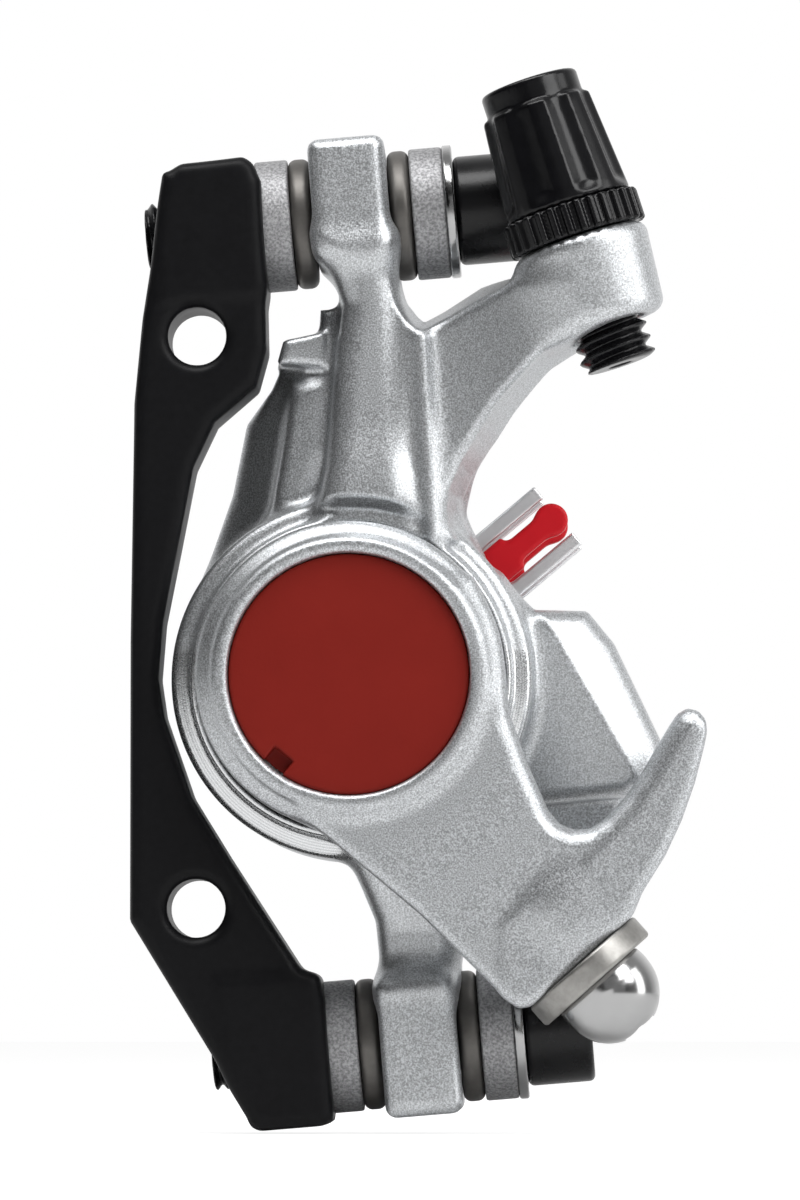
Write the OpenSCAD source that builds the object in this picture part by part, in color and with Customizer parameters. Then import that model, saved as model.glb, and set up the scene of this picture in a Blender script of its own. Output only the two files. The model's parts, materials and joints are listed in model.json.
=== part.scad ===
// Mechanical disc brake: cable-pulled caliper on its frame bracket.
// X runs right and Z up as the outer face is seen, and Y runs inward, towards the wheel.
// The origin is midway between the two frame bolt holes, on the bracket's outer face.

/* [Bracket] */
// Spacing of the two frame bolt holes
frame_pitch = 51; // [50:0.5:52]
// Diameter of a frame bolt hole
frame_hole_d = 5.2; // [5:0.1:5.6]
// Thickness of the bracket plate
bracket_t = 9; // [7:0.5:11]
// Depth of the bracket at its posts
post_depth = 14; // [13:0.5:14]
// Height of a post along the post line
post_h = 13.4; // [12.5:0.1:14]

/* [Mount bolts] */
// Spacing of the two mount bolts
post_pitch = 74; // [73:0.5:75]
// Lean of the post line, in degrees
post_tilt = 4.7; // [3:0.1:6]
// Depth of the mount bolt axes behind the bracket's outer face
post_y = 7; // [6.8:0.1:7.2]
// Diameter of a mount bolt
bolt_d = 6; // [5.5:0.1:6.2]
// Diameter of a mount bolt's head
bolt_head_d = 9.8; // [9:0.1:10.5]
// Height of a mount bolt's head
bolt_head_h = 6; // [5:0.1:7]
// Length of thread past the washers into the bracket
bolt_reach = 10.2; // [8:0.1:12]
// Width of the hexagon socket in the bolt heads
socket_af = 5; // [4:0.5:5.5]

/* [Washers] */
// Diameter of the cup and ball washers
washer_d = 11.8; // [11:0.1:12.4]
// Bore of the cup and ball washers
washer_bore = 7.4; // [7:0.1:7.8]
// Thickness of a cup washer
cup_t = 3.0; // [2.8:0.1:3.4]
// Thickness of a ball washer at its rim
ball_t = 2.0; // [1.6:0.1:2.4]
// Radius of the round seat between cup and ball
seat_r = 9; // [8:0.1:10]
// Thickness of the thin bright washer
thin_t = 0.9; // [0.6:0.1:1.2]

/* [Body] */
// Thickness of an ear along its bolt
ear_t = 6.9; // [6:0.1:8]
// Half height of an ear, from its bolt axis to its tip
ear_reach = 6.7; // [6.3:0.1:7.2]
// Depth of an ear, front to back
ear_depth = 14.7; // [14:0.1:14.7]
// Length of an ear's slot, front to back
slot_l = 11.6; // [10:0.1:12]
// Hub centre, right of the frame hole line
hub_x = 13.8; // [13:0.1:14.4]
// Hub centre, above the middle of the frame holes
hub_z = -5.1; // [-5.6:0.1:-4.6]
// Radius of the hub's shell
shell_r = 16.1; // [15.6:0.1:16.6]
// Radius of the raised collar behind the arm
collar_r = 14.3; // [14:0.1:15]
// Gap in the body for the rotor
rotor_gap = 4.4; // [4.2:0.1:4.8]
// Radius of the rotor that the brake fits
rotor_r = 80; // [79:0.5:81]
// Depth of the middle of the rotor
rotor_y = 17; // [16.9:0.1:17.2]
// Depth of the inner half of the body behind the rotor gap
inner_depth = 8.8; // [8.4:0.1:9.4]
// Direction of the pad tails, in degrees
tail_angle = 40; // [38:0.5:42]
// Width of the window that the tails pass through
window_w = 7.8; // [7.6:0.1:8.6]

/* [Cable stop] */
// Lean of the barrel, in degrees
barrel_tilt = 18; // [16:0.5:20]
// Seat of the lock ring, right of the frame hole line
stop_x = 34.1; // [33.5:0.1:34.6]
// Seat of the lock ring, above the middle of the frame holes
stop_z = 33.6; // [33.2:0.1:34.2]
// Depth of the cable line
cable_y = -3.5; // [-4:0.1:-3.2]
// Radius of the stop's boss at its seat
boss_r = 6.1; // [5.8:0.1:6.4]
// Length of the stop's boss
boss_l = 8.1; // [7.5:0.1:8.8]
// Diameter of the barrel's threaded stem
stem_d = 6.8; // [6.5:0.1:7]
// How far the stem stands out below the boss
stem_out = 3.6; // [2:0.1:4]
// Diameter of the knurled lock ring
ring_d = 12.4; // [12:0.1:13]
// Thickness of the lock ring
ring_t = 3; // [2.5:0.1:3.5]
// Length of the fluted part of the barrel
barrel_l = 9.5; // [8.5:0.1:10.5]
// Diameter of the barrel beside the ring
barrel_d = 11.4; // [11:0.1:11.8]
// Diameter of the barrel's collar
barrel_top_d = 8.8; // [8.4:0.1:9.2]
// Height of the barrel's collar
barrel_top_h = 2.2; // [1.8:0.1:2.6]
// Diameter of the socket for the cable housing
housing_d = 5.2; // [5:0.1:5.4]
// Depth of the socket for the cable housing
housing_depth = 9; // [7:0.1:10]
// Diameter of the hole for the cable
cable_d = 2; // [1.8:0.1:2.4]

/* [Arm] */
// Outer face of the arm, in front of the bracket's face
arm_front = -8.2; // [-8.6:0.1:-8]
// Thickness of the arm at its hub
arm_t = 5.2; // [5:0.1:5.2]
// Thickness of the arm at the cable clamp
arm_tail_t = 9.2; // [9:0.1:9.4]
// Radius of the arm's hub
arm_hub_r = 13.6; // [13.4:0.1:13.9]
// Height of the rounded lip around the cap
lip_h = 0.8; // [0.5:0.1:1]
// Radius of the cap
cap_r = 10.6; // [10.2:0.1:10.8]
// Thickness of the cap
cap_t = 1.3; // [1.1:0.1:1.4]
// Diameter of the clamp washer
clamp_d = 12.2; // [11.6:0.1:12.6]
// Thickness of the clamp washer
clamp_t = 2.2; // [1.8:0.1:2.6]
// Diameter of the clamp bolt's thread
clamp_bolt_d = 5; // [4.5:0.1:5.4]
// Diameter of the clamp bolt's domed head
dome_d = 9; // [8.6:0.1:9.6]
// Height of the clamp bolt's domed head
dome_h = 5.9; // [5.4:0.1:6.4]
// Direction of the clamp bolt, in degrees
clamp_angle = -48.4; // [-50:0.1:-46]

/* [Cam] */
// Radius of the cam shaft
shaft_r = 5.2; // [5:0.1:5.4]
// Radius of the cams
cam_r = 9.7; // [9.5:0.1:9.9]
// Thickness of the fixed cam
fixed_cam_t = 2.0; // [1.8:0.1:2.2]
// Diameter of a ramp ball
ball_d = 3.2; // [3:0.1:3.4]
// Radius of the circle that the balls run on
ball_ring_r = 7.4; // [7.2:0.1:7.6]
// Depth of a ball in each ramp
ramp_depth = 0.8; // [0.7:0.05:0.9]
// Turn of the balls along a ramp, in degrees
ramp_turn = 21; // [20:1:24]
// Thickness of the drive cam's flange
flange_t = 2.3; // [2:0.1:2.5]
// Wire of the return spring
spring_wire = 1; // [0.9:0.05:1.1]
// Radius of the return spring's coil
spring_r = 9.2; // [8.8:0.1:9.4]

/* [Pads and knob] */
// Radius of a pad plate
pad_r = 10.5; // [10:0.1:10.8]
// Radius of a pad lining
lining_r = 9.6; // [9:0.1:9.9]
// Thickness of a pad plate
plate_t = 1.5; // [1.3:0.1:1.7]
// Thickness of a pad lining
lining_t = 2.0; // [1.6:0.1:2.1]
// Distance from the hub centre to the round end of a tail
tail_reach = 23.2; // [22.6:0.1:24]
// Radius of the round end of a tail
tail_end_r = 1.5; // [1.3:0.1:1.7]
// Width of a tail where it leaves the window
tail_w = 3.4; // [3:0.1:3.8]
// Thickness of the pad spring's sheet
sheet_t = 0.4; // [0.3:0.05:0.5]
// Radius of the inner foot's thread
foot_r = 7; // [6.6:0.1:7.2]
// Radius of the rear knob
knob_r = 10.8; // [10.2:0.1:11.2]
// Thickness of the rear knob
knob_t = 4.4; // [4:0.1:5]

/* [Fits] */
// Radial clearance of a turning or sliding fit
run_fit = 0.05; // [0.03:0.01:0.08]
// Gap between pieces that pass each other
free_gap = 0.3; // [0.2:0.05:0.4]

/* [Hidden] */

// Middle of the post line
post_mid_x = 8.35;
post_mid_z = -1;
high_ear_z = post_mid_z + post_pitch / 2;
low_ear_z = post_mid_z - post_pitch / 2;
eps = 0.01;

// Depths of the arm's parts
lip_front = arm_front - lip_h;
arm_back = arm_front + arm_t;
cap_back = arm_front + cap_t;
cap_floor = cap_back + 0.05;
screw_head_t = 1.5;
screw_head_r = 4.6;
web_front = cap_floor + screw_head_t + 0.1;
spring_room = 2.4;
arm_advance = 1.2;

// Depths of the housing and the cam train
collar_front = arm_back + arm_advance + 0.6;
shell_front = collar_front + 2.2;
cam_seat = collar_front + 2.7;
fixed_cam_back = cam_seat + fixed_cam_t;
ball_y = fixed_cam_back - ramp_depth + ball_d / 2;
flange_front = ball_y + ball_d / 2 - ramp_depth;
flange_back = flange_front + flange_t;
gap_front = rotor_y - rotor_gap / 2;
gap_back = rotor_y + rotor_gap / 2;

// Depths of the pads and feet
outer_face = gap_front + 0.5;
outer_plate_back = outer_face - lining_t;
outer_plate_front = outer_plate_back - plate_t;
inner_face = gap_back - 0.4;
inner_plate_front = inner_face + lining_t;
inner_plate_back = inner_plate_front + plate_t;
body_back = gap_back + inner_depth;
knob_front = body_back + 0.7;

// Rotor centre, straight opposite the tails
pad_to_rim = 11;
rotor_x = hub_x - (rotor_r - pad_to_rim) * cos(tail_angle);
rotor_z = hub_z - (rotor_r - pad_to_rim) * sin(tail_angle);
rim_clear = 1.5;

// Stack on a mount bolt, measured from the bracket's post face
ball_s = cup_t;
ear_s = ball_s + ball_t;
outer_ball_s = ear_s + ear_t;
outer_cup_s = outer_ball_s + ball_t;
thin_s = outer_cup_s + cup_t;
head_s = thin_s + thin_t;
dome_r = 4.8;
seat_drop = seat_r - sqrt(seat_r * seat_r - dome_r * dome_r);

// Clamp seat on the arm's end face
clamp_x = hub_x + 20.4;
clamp_z = hub_z - 25.2;
clamp_y = cable_y;
clamp_hole_l = 9;

// The crease on the bridge's face
crease_x = 31.4;
crease_z = -0.3;
crease_lean = 30;
crease_front = 2.8;
boss_draft = 0.6;

// Small features inside
inner_r = shell_r - 0.7;
spigot_r = 2.5;
cam_hex_r = 4.15;
knob_hex_r = 3;
seal_r = 12.6;
seal_w = 1;
seal_h = 1.15;
click_r = 9.2;
click_wire = 0.45;
spring_seat = 0.15;
washer_travel = 9;
arm_clear = 4.4;

// Body bolts through the bridge, right and above of the hub centre
upper_bolt_at = [hub_x + 4.6, hub_z + 24.4];
lower_bolt_at = [hub_x + 21.2, hub_z - 2.2];
body_bolt_r = 2.5;
body_bolt_head_r = 4.1;
body_bolt_head_h = 3;

fine = 72;

// Runs a flat outline, drawn in X and Z, from depth y0 to depth y1.
module slab(y0, y1) translate([0, y1, 0]) rotate([90, 0, 0]) linear_extrude(y1 - y0) children();

// A round bar along Y at the hub centre or at any other point.
module bar(r, y0, y1, at = [hub_x, hub_z], n = fine)
  translate([at[0], y1, at[1]]) rotate([90, 0, 0]) cylinder(h = y1 - y0, r = r, $fn = n);

// Turns a profile of radius and depth about the hub axis.
module turned() translate([hub_x, 0, hub_z]) rotate([-90, 0, 0]) rotate_extrude($fn = fine) children();

// Rounds the outer corners of an outline by r.
module soften(r) offset(r = r, $fn = 32) offset(delta = -r) children();

// Rounds the inner corners of an outline by r.
module fillet(r) offset(delta = -r) offset(r = r, $fn = 32) children();

// Places children on the upper (side 1) or lower (side -1) mount bolt, with Z along the bolt.
module on_post(side)
  translate([post_mid_x, post_y, post_mid_z]) rotate([0, -post_tilt, 0])
    translate([0, 0, side * post_pitch / 2]) rotate([0, 90, 0]) children();

// Flat zone in X and Z beside one mount bolt, from s0 to s1 along it and h0 to h1 across it.
module post_zone(side, s0, s1, h0, h1)
  translate([post_mid_x, post_mid_z]) rotate(post_tilt)
    translate([0, side * post_pitch / 2]) translate([s0, h0]) square([s1 - s0, h1 - h0]);

// Places children at the cable stop, with Z up along the barrel and zero at the ring's seat.
module on_stop() translate([stop_x, cable_y, stop_z]) rotate([0, -barrel_tilt, 0]) children();

// Places children at the clamp seat, with Z along the clamp bolt towards its head.
module on_clamp() translate([clamp_x, clamp_y, clamp_z]) rotate([0, 90 - clamp_angle, 0]) children();

// Places children in the hub plane, turned so that X runs along the tails.
module on_tail() translate([hub_x, hub_z]) rotate(tail_angle) children();

// The bracket's outline, cut off square at the faces that the washers seat on.
module bracket_outline() {
  edge = 1.2;
  difference() {
    soften(edge) fillet(2) bracket_blank();
    for (side = [-1, 1]) post_zone(side, 0, 4, -post_h / 2, post_h);
  }
}

module bracket_blank() {
  union() {
    polygon([
      [-2.9, 40], [3.9, 41.2], [5.4, 39.4], [5.7, 33], [6.1, 28.5], [6.2, 24.3], [5.3, 21], [1.6, 17.8],
      [-0.3, 13.8], [-1.7, 6.6], [-3, 0], [-3.4, -5], [-2.9, -8.4], [-0.4, -15.6], [3, -21.1],
      [10.2, -32.2], [11, -33.6], [11.8, -44.2], [6, -44.7], [4.4, -43.4], [-5.9, -26.6], [-5.9, -1.7],
      [-5.6, 19.6], [-4.9, 27]
    ]);
    post_zone(1, -7, 1, -post_h / 2, 5.4);
    post_zone(-1, -5, 1, -post_h / 2, post_h / 2);
  }
}

module mounting_bracket() {
  color([0.05, 0.05, 0.06]) difference() {
    union() {
      slab(0, bracket_t) bracket_outline();
      slab(bracket_t - eps, post_depth) intersection() {
        bracket_outline();
        union() {
          post_zone(1, -9, 0, -post_h / 2, post_h / 2);
          post_zone(-1, -9, 0, -post_h / 2, post_h / 2);
        }
      }
    }
    for (side = [-1, 1]) {
      bar(frame_hole_d / 2, -1, bracket_t + 1, [0, side * frame_pitch / 2]);
      on_post(side) translate([0, 0, -14]) cylinder(h = 16, d = bolt_d + 2 * run_fit, $fn = fine);
    }
  }
}

module mount_bolt(side) {
  head_edge = 0.6;
  socket_deep = 3;
  color([0.04, 0.04, 0.05]) on_post(side) difference() {
    union() {
      translate([0, 0, -bolt_reach]) cylinder(h = bolt_reach + head_s, d = bolt_d, $fn = fine);
      translate([0, 0, head_s]) cylinder(h = bolt_head_h - head_edge, d = bolt_head_d, $fn = fine);
      translate([0, 0, head_s + bolt_head_h - head_edge])
        cylinder(h = head_edge, d1 = bolt_head_d, d2 = bolt_head_d - 2 * head_edge, $fn = fine);
    }
    translate([0, 0, head_s + bolt_head_h - socket_deep])
      cylinder(h = socket_deep + 1, d = socket_af / cos(30), $fn = 6);
  }
}

// A cup washer whose flat face lies at s, with its dish on the side that dir points to.
module cup_washer(side, s, dir) {
  color([0.55, 0.55, 0.56]) on_post(side) translate([0, 0, s]) mirror([0, 0, dir > 0 ? 0 : 1])
    difference() {
      cylinder(h = cup_t, d = washer_d, $fn = fine);
      translate([0, 0, -1]) cylinder(h = cup_t + 2, d = washer_bore, $fn = fine);
      translate([0, 0, cup_t - seat_drop + seat_r]) sphere(r = seat_r + run_fit, $fn = fine);
    }
}

// A ball washer whose flat face lies at s, with its round face on the side that dir points to.
module ball_washer(side, s, dir) {
  rim = 0.7;
  color([0.42, 0.41, 0.39]) on_post(side) translate([0, 0, s]) mirror([0, 0, dir > 0 ? 0 : 1])
    difference() {
      union() {
        rotate_extrude($fn = fine) {
          translate([0, rim]) square([washer_d / 2, ball_t - 2 * rim]);
          square([washer_d / 2 - rim, ball_t]);
          for (z = [rim, ball_t - rim]) translate([washer_d / 2 - rim, z]) circle(r = rim, $fn = 32);
        }
        intersection() {
          translate([0, 0, ball_t + seat_drop - seat_r]) sphere(r = seat_r, $fn = fine);
          translate([0, 0, ball_t / 2]) cylinder(h = ball_t / 2 + seat_drop + 1, r = dome_r, $fn = fine);
        }
      }
      translate([0, 0, -1]) cylinder(h = 6, d = washer_bore - 0.4, $fn = fine);
    }
}

module thin_washer(side) {
  color([0.75, 0.75, 0.74]) on_post(side) translate([0, 0, thin_s]) difference() {
    cylinder(h = thin_t, d = washer_d + 0.2, $fn = fine);
    translate([0, 0, -1]) cylinder(h = thin_t + 2, d = bolt_d + 0.4, $fn = fine);
  }
}

// Outline of the hub shell with the lower leg.
module shell_outline() fillet(2) union() {
  translate([hub_x, hub_z]) circle(r = shell_r, $fn = fine);
  polygon([
    [12, -18], [14.6, -23.5], [15.9, -26.6], [16.6, low_ear_z + 4.6], [22.6, low_ear_z + 4.6],
    [23.2, -31], [24.4, -27], [25.6, -20], [24, -10]
  ]);
}

module spine_outline() {
  soften(0.8) fillet(3) union() {
    polygon([
      [10.9, high_ear_z - 2.5], [13, 28.2], [12.4, 24], [11.6, 14], [10.4, 8], [20.6, 6], [20.1, 9], [19.1, 15],
      [18.7, 21.6], [18.3, 28], [17.6, high_ear_z - 2.5]
    ]);
    post_zone(1, ear_s, ear_s + ear_t, -4, ear_reach);
  }
}

// Outline of the bridge to the lower right of the window.
module ridge_outline() {
  soften(1.2) polygon([
    [24, 3.6], [27, 4.2], [28.4, 2.6], [30.1, 1.2], [34.8, 1.2], [37.2, -1.7], [41.4, -10.5],
    [41.8, -13.4], [38.4, -15.4], [30, -16.2], [22, -20], [20, -10]
  ]);
}

// Part of an outline that lies outside the rotor's rim.
module past_rim() difference() {
  children();
  translate([rotor_x, rotor_z]) circle(r = rotor_r + rim_clear, $fn = 240);
}

module bridge_outline() past_rim() {
  ridge_outline();
  soften(1) polygon([
    [9.4, 25], [18.6, 28], [24.8, 16.4], [23.4, 10], [25.2, 6.4], [12, 4], [5, 14]
  ]);
}

module boss() on_stop() translate([0, 0, -boss_l])
  cylinder(h = boss_l, r1 = boss_r - boss_draft, r2 = boss_r, $fn = 48);

// Outline of the cable-stop arm, with the curve that leaves room for the swinging arm.
module stop_arm_outline() soften(0.6) polygon([
  [17, 31], [18.3, 28.7], [20.2, 27.2], [21.9, 28.1], [25.3, 30.3], [28, 31.3],
  [stop_x - 0.1, stop_z - 2.6], [stop_x + 2.9, stop_z - 6.6], [stop_x + 0.3, stop_z - 9.9],
  [31.9, 22.1], [30.6, 20.8], [28.4, 18.6], [26.1, 15.8], [24.5, 13.4], [23.6, 11.3],
  [23.5, 9.8], [23.7, 8.6], [24.6, 6.6], [18, 4], [16.5, 14]
]);

// Front and back of the cable-stop arm, drawn in X and Y.
module stop_arm_depths() polygon([
  [14, collar_front], [19.6, collar_front], [20.9, collar_front - 0.7], [22.3, -1.3], [23.5, -1.5],
  [25, -2.3], [26.5, -3.4], [28, -4.6], [29.5, -5.9], [31, -6.9], [33.5, -7.6], [40, -7.6],
  [40, 3.2], [32, 3.2], [30, 3.8], [28, 5.4], [26, 7.3], [24, 9.3], [22, 10.9], [20, 11.5], [14, 11.5]
]);

module stop_arm() {
  boss();
  intersection() {
    slab(-12, 12) stop_arm_outline();
    linear_extrude(2 * stop_z) stop_arm_depths();
  }
}

// Outline of the thin wing beside the spine.
module wing_outline() soften(0.8) polygon([
  [15, 28.4], [10.9, 28.2], [10.7, 25.7], [8.3, 25.2], [6.4, 21.2], [4.1, 18.2], [2.8, 11.9],
  [0.1, 4.6], [-2, -1], [14, -6], [24, 8]
]);

// The wing, whose face falls away from the spine, with a rib and a step standing on it.
module wing() {
  rib = 3.4;
  step = 3;
  intersection() {
    slab(rib, gap_front) wing_outline();
    translate([0, 0, -10]) linear_extrude(50)
      polygon([[-4, 8.8], [0.5, 8.6], [12.5, 3.6], [26, 3.6], [26, 18], [-4, 18]]);
  }
  slab(rib, gap_front - 1) soften(1)
    polygon([[9, 22.4], [11.4, 22], [10.9, 14.7], [9.3, 10.9], [6.4, 8.6], [7.4, 16.5]]);
  slab(step, gap_front - 1) soften(0.6)
    polygon([[8.4, 25.1], [11.4, 25.9], [11.6, 22.9], [7.4, 22.6]]);
}

// The lower half of the bridge, with a crease running down its face.
module ridge() intersection() {
  slab(0, gap_front) ridge_outline();
  translate([crease_x, 0, crease_z]) rotate([0, -crease_lean, 0]) translate([0, 0, -30])
    linear_extrude(60) polygon([
      [-16, crease_front + 1.4], [-9, crease_front + 1.4], [0, crease_front], [9, crease_front + 4.5],
      [20, crease_front + 4.5], [20, gap_front], [-16, gap_front]
    ]);
}

// The hole that the pads, their tails and their spring sit in, from y0 to y1.
module pad_room(y0, y1) {
  bar(pad_r + 0.4, y0, y1);
  slab(y0, y1) on_tail() translate([8, -window_w / 2]) square([20, window_w]);
}

module ear(side, h0, h1) slab(post_y - ear_depth / 2, post_y + ear_depth / 2)
  soften(1) post_zone(side, ear_s, ear_s + ear_t, h0, h1);

module ear_slot(side) on_post(side) translate([0, 0, ear_s - 1]) linear_extrude(ear_t + 2)
  for (d = [-1, 1]) hull() {
    circle(d = bolt_d + 0.8, $fn = 48);
    translate([0, d * (slot_l - bolt_d - 0.8) / 2]) circle(d = bolt_d + 0.8, $fn = 48);
  }

// Room for the washers and the bolt head on both sides of an ear.
module washer_room() {
  translate([0, 0, ear_s - washer_travel])
    cylinder(h = washer_travel, d = washer_d + 2 * free_gap, $fn = fine);
  translate([0, 0, ear_s + ear_t])
    cylinder(h = head_s - ear_s - ear_t, d = washer_d + 2 * free_gap, $fn = fine);
  translate([0, 0, head_s - eps])
    cylinder(h = bolt_head_h + 1, d = bolt_head_d + 2 * free_gap, $fn = fine);
}

module outer_body() {
  mouth = 0.6;
  spine_front = collar_front - 1.2;
  color([0.72, 0.73, 0.74]) difference() {
    union() {
      turned() polygon([
        [0, collar_front], [collar_r - mouth, collar_front], [collar_r, collar_front + mouth],
        [collar_r, shell_front - 0.4], [shell_r - 1, shell_front], [shell_r, shell_front + 1],
        [shell_r, gap_front], [0, gap_front]
      ]);
      slab(shell_front + 1, gap_front) shell_outline();
      wing();
      slab(collar_front, 13) spine_outline();
      slab(spine_front, 5) difference() {
        spine_outline();
        translate([hub_x, hub_z]) circle(r = arm_hub_r + arm_clear, $fn = fine);
      }
      slab(collar_front, 12) intersection() {
        shell_outline();
        translate([12, -36]) square([20, 22]);
      }
      ridge();
      slab(gap_front - 1, rotor_y) offset(delta = -0.05) bridge_outline();
      stop_arm();
      ear(1, -4, ear_reach);
      ear(-1, -ear_reach, 5.6);
    }
    for (side = [-1, 1]) {
      ear_slot(side);
      on_post(side) washer_room();
    }
    bar(shaft_r + run_fit, collar_front - 1, cam_seat + 1);
    bar(cam_r + run_fit, cam_seat, outer_plate_front + 0.5);
    pad_room(outer_plate_front - 0.1, rotor_y + 1);
    turned() translate([seal_r - run_fit, collar_front - 1]) square([seal_w + 2 * run_fit, 1.8]);
    spring_leg_hole(collar_front - 1, collar_front + 1.6, 0);
    on_stop() translate([0, 0, -boss_l - 4]) cylinder(h = boss_l + 6, d = stem_d + 2 * run_fit, $fn = fine);
    on_stop() cylinder(h = ring_t + 1, d = ring_d + 2 * free_gap, $fn = fine);
    for (at = [upper_bolt_at, lower_bolt_at]) bar(body_bolt_r + run_fit, rotor_y - 8, rotor_y + 1, at);
  }
}

module inner_outline() fillet(2) union() {
  translate([hub_x, hub_z]) circle(r = inner_r, $fn = fine);
  bridge_outline();
}

module inner_body() {
  edge = 1.6;
  color([0.70, 0.71, 0.72]) difference() {
    union() {
      slab(gap_back, body_back - edge) inner_outline();
      slab(rotor_y, gap_back + 1) offset(delta = -0.05) bridge_outline();
      turned() polygon([
        [0, body_back - edge - eps], [inner_r, body_back - edge - eps], [inner_r - 0.4, body_back - edge],
        [inner_r - edge, body_back], [0, body_back]
      ]);
    }
    pad_room(rotor_y - 1, inner_plate_back + 0.1);
    bar(foot_r + run_fit, gap_back, body_back + 1);
    turned() translate([click_r, body_back + 0.1]) circle(r = click_wire + run_fit, $fn = 32);
    for (at = [upper_bolt_at, lower_bolt_at]) {
      bar(body_bolt_r + run_fit, rotor_y - 1, body_back + 1, at);
      bar(body_bolt_head_r + 0.2, body_back - body_bolt_head_h, body_back + 1, at);
    }
  }
}

module body_bolt(at) {
  seat = body_back - body_bolt_head_h;
  color([0.25, 0.25, 0.26]) difference() {
    union() {
      bar(body_bolt_r, rotor_y - 7.6, seat + eps, at);
      bar(body_bolt_head_r, seat, body_back, at);
    }
    translate([at[0], body_back + 1, at[1]]) rotate([90, 0, 0])
      cylinder(h = 3, d = 4 / cos(30), $fn = 6);
  }
}

module arm_outline() {
  soften(0.7) fillet(1.2) union() {
    translate([hub_x, hub_z]) circle(r = arm_hub_r, $fn = fine);
    polygon([
      [9.4, -17.3], [20.1, -26.2], [27.3, -33.3], [28.7, -34.2], [30.1, -34], [38.3, -26.6],
      [39.4, -24.1], [41.4, -20.9], [42.8, -17.9], [44, -14.5], [44.8, -11.2], [45, -9.4], [43.6, -8.3],
      [42.2, -9.2], [39.8, -13.6], [38.2, -15.9], [36.4, -17.7], [34.9, -18.6], [33.6, -18.7],
      [32.3, -18.2], [31.3, -17], [29.5, -12.9], [28, -8.8], [27.2, -4.6], [26.6, -1.4], [24.6, 3.4],
      [16, 4]
    ]);
  }
}

// The part of the arm that is thick enough for the cable clamp and the cable's groove.
module arm_tail_outline() intersection() {
  arm_outline();
  polygon([
    [27, -36], [50, -36], [50, 0], [40, -12], [34, -22], [29.5, -24.5], [27, -27]
  ]);
}

module actuating_arm() {
  color([0.74, 0.75, 0.76]) difference() {
    union() {
      slab(arm_front, arm_back) arm_outline();
      slab(arm_back - eps, arm_front + arm_tail_t) arm_tail_outline();
      turned() polygon([
        [cap_r - 0.4, arm_front + 1], [cap_r - 0.4, lip_front + 0.2], [cap_r + 0.5, lip_front],
        [cap_r + 1.6, arm_front + eps], [cap_r + 1.6, arm_front + 1]
      ]);
    }
    bar(cap_r + run_fit, lip_front - 1, cap_floor);
    bar(screw_head_r + 0.1, cap_floor - 1, web_front);
    bar(cam_hex_r + run_fit, web_front - 1, arm_back + 1, [hub_x, hub_z], 6);
    turned() translate([6.4, arm_back - spring_room]) square([5.4, spring_room + 1]);
    spring_leg_hole(arm_back - spring_room - 0.8, arm_back - spring_room + 1, 180);
    on_clamp() translate([0, 0, -clamp_hole_l])
      cylinder(h = clamp_hole_l + 1, d = clamp_bolt_d + 2 * run_fit, $fn = fine);
    on_clamp() translate([0, 0, 0]) cylinder(h = 8, d = clamp_d + 2, $fn = fine);
  }
}

module arm_cap() {
  notch_w = 2.1;
  notch_deep = 1.6;
  notch_angle = 231;
  color([0.62, 0.16, 0.10]) difference() {
    bar(cap_r, arm_front, cap_back);
    translate([hub_x, 0, hub_z]) rotate([0, -notch_angle, 0])
      translate([cap_r - notch_deep, arm_front - 1, -notch_w / 2])
        cube([notch_deep + 1, cap_t + 2, notch_w]);
  }
}

module arm_screw() {
  color([0.2, 0.2, 0.21]) difference() {
    union() {
      bar(screw_head_r, cap_floor + 0.05, web_front);
      bar(spigot_r, web_front - eps, flange_front - 1.5);
    }
    bar(2, cap_floor - 1, cap_floor + 1.1, [hub_x, hub_z], 6);
  }
}

module clamp_washer() {
  color([0.45, 0.44, 0.42]) on_clamp() difference() {
    cylinder(h = clamp_t, d = clamp_d, $fn = fine);
    translate([0, 0, -1]) cylinder(h = clamp_t + 2, d = clamp_bolt_d + 0.3, $fn = fine);
  }
}

// The clamp bolt: a short collar, a round dome and a hexagon socket in its top.
module clamp_bolt() {
  dome = dome_d / 2;
  dome_edge = 1.6;
  color([0.85, 0.85, 0.87]) on_clamp() difference() {
    union() {
      translate([0, 0, -clamp_hole_l + 0.5]) cylinder(h = clamp_hole_l + clamp_t, d = clamp_bolt_d, $fn = fine);
      translate([0, 0, clamp_t]) intersection() {
        cylinder(h = dome_h, r = dome, $fn = fine);
        translate([0, 0, dome_edge]) sphere(r = dome + 0.12, $fn = fine);
      }
    }
    translate([0, 0, clamp_t + dome_h - 2.2]) cylinder(h = 4, d = 4 / cos(30), $fn = 6);
  }
}

// Round grooves in a cam face that the balls at depth y run in, each turned from a0 by ramp_turn.
module ramps(y, a0) translate([hub_x, y, hub_z]) rotate([90, 0, 0]) for (k = [0:2]) {
  r = ball_d / 2 + run_fit;
  lead = asin(r / ball_ring_r);
  rotate(k * 120 + a0 - lead) rotate_extrude(angle = ramp_turn + 2 * lead, $fn = fine)
    translate([ball_ring_r, 0]) circle(r = r, $fn = 48);
}

module drive_cam() {
  color([0.5, 0.5, 0.52]) difference() {
    union() {
      bar(cam_r - 0.1, flange_front, flange_back);
      bar(shaft_r, arm_back, flange_front + eps);
      bar(cam_hex_r, web_front, arm_back + eps, [hub_x, hub_z], 6);
    }
    ramps(ball_y, -ramp_turn);
    bar(spigot_r + run_fit, web_front - 1, flange_front - 1.2);
    bar(spigot_r + run_fit, flange_back - 1.9, flange_back + 1);
  }
}

module fixed_cam() {
  color([0.45, 0.45, 0.47]) difference() {
    bar(cam_r, cam_seat, fixed_cam_back);
    bar(shaft_r + run_fit, cam_seat - 1, fixed_cam_back + 1);
    ramps(ball_y, 0);
  }
}

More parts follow.
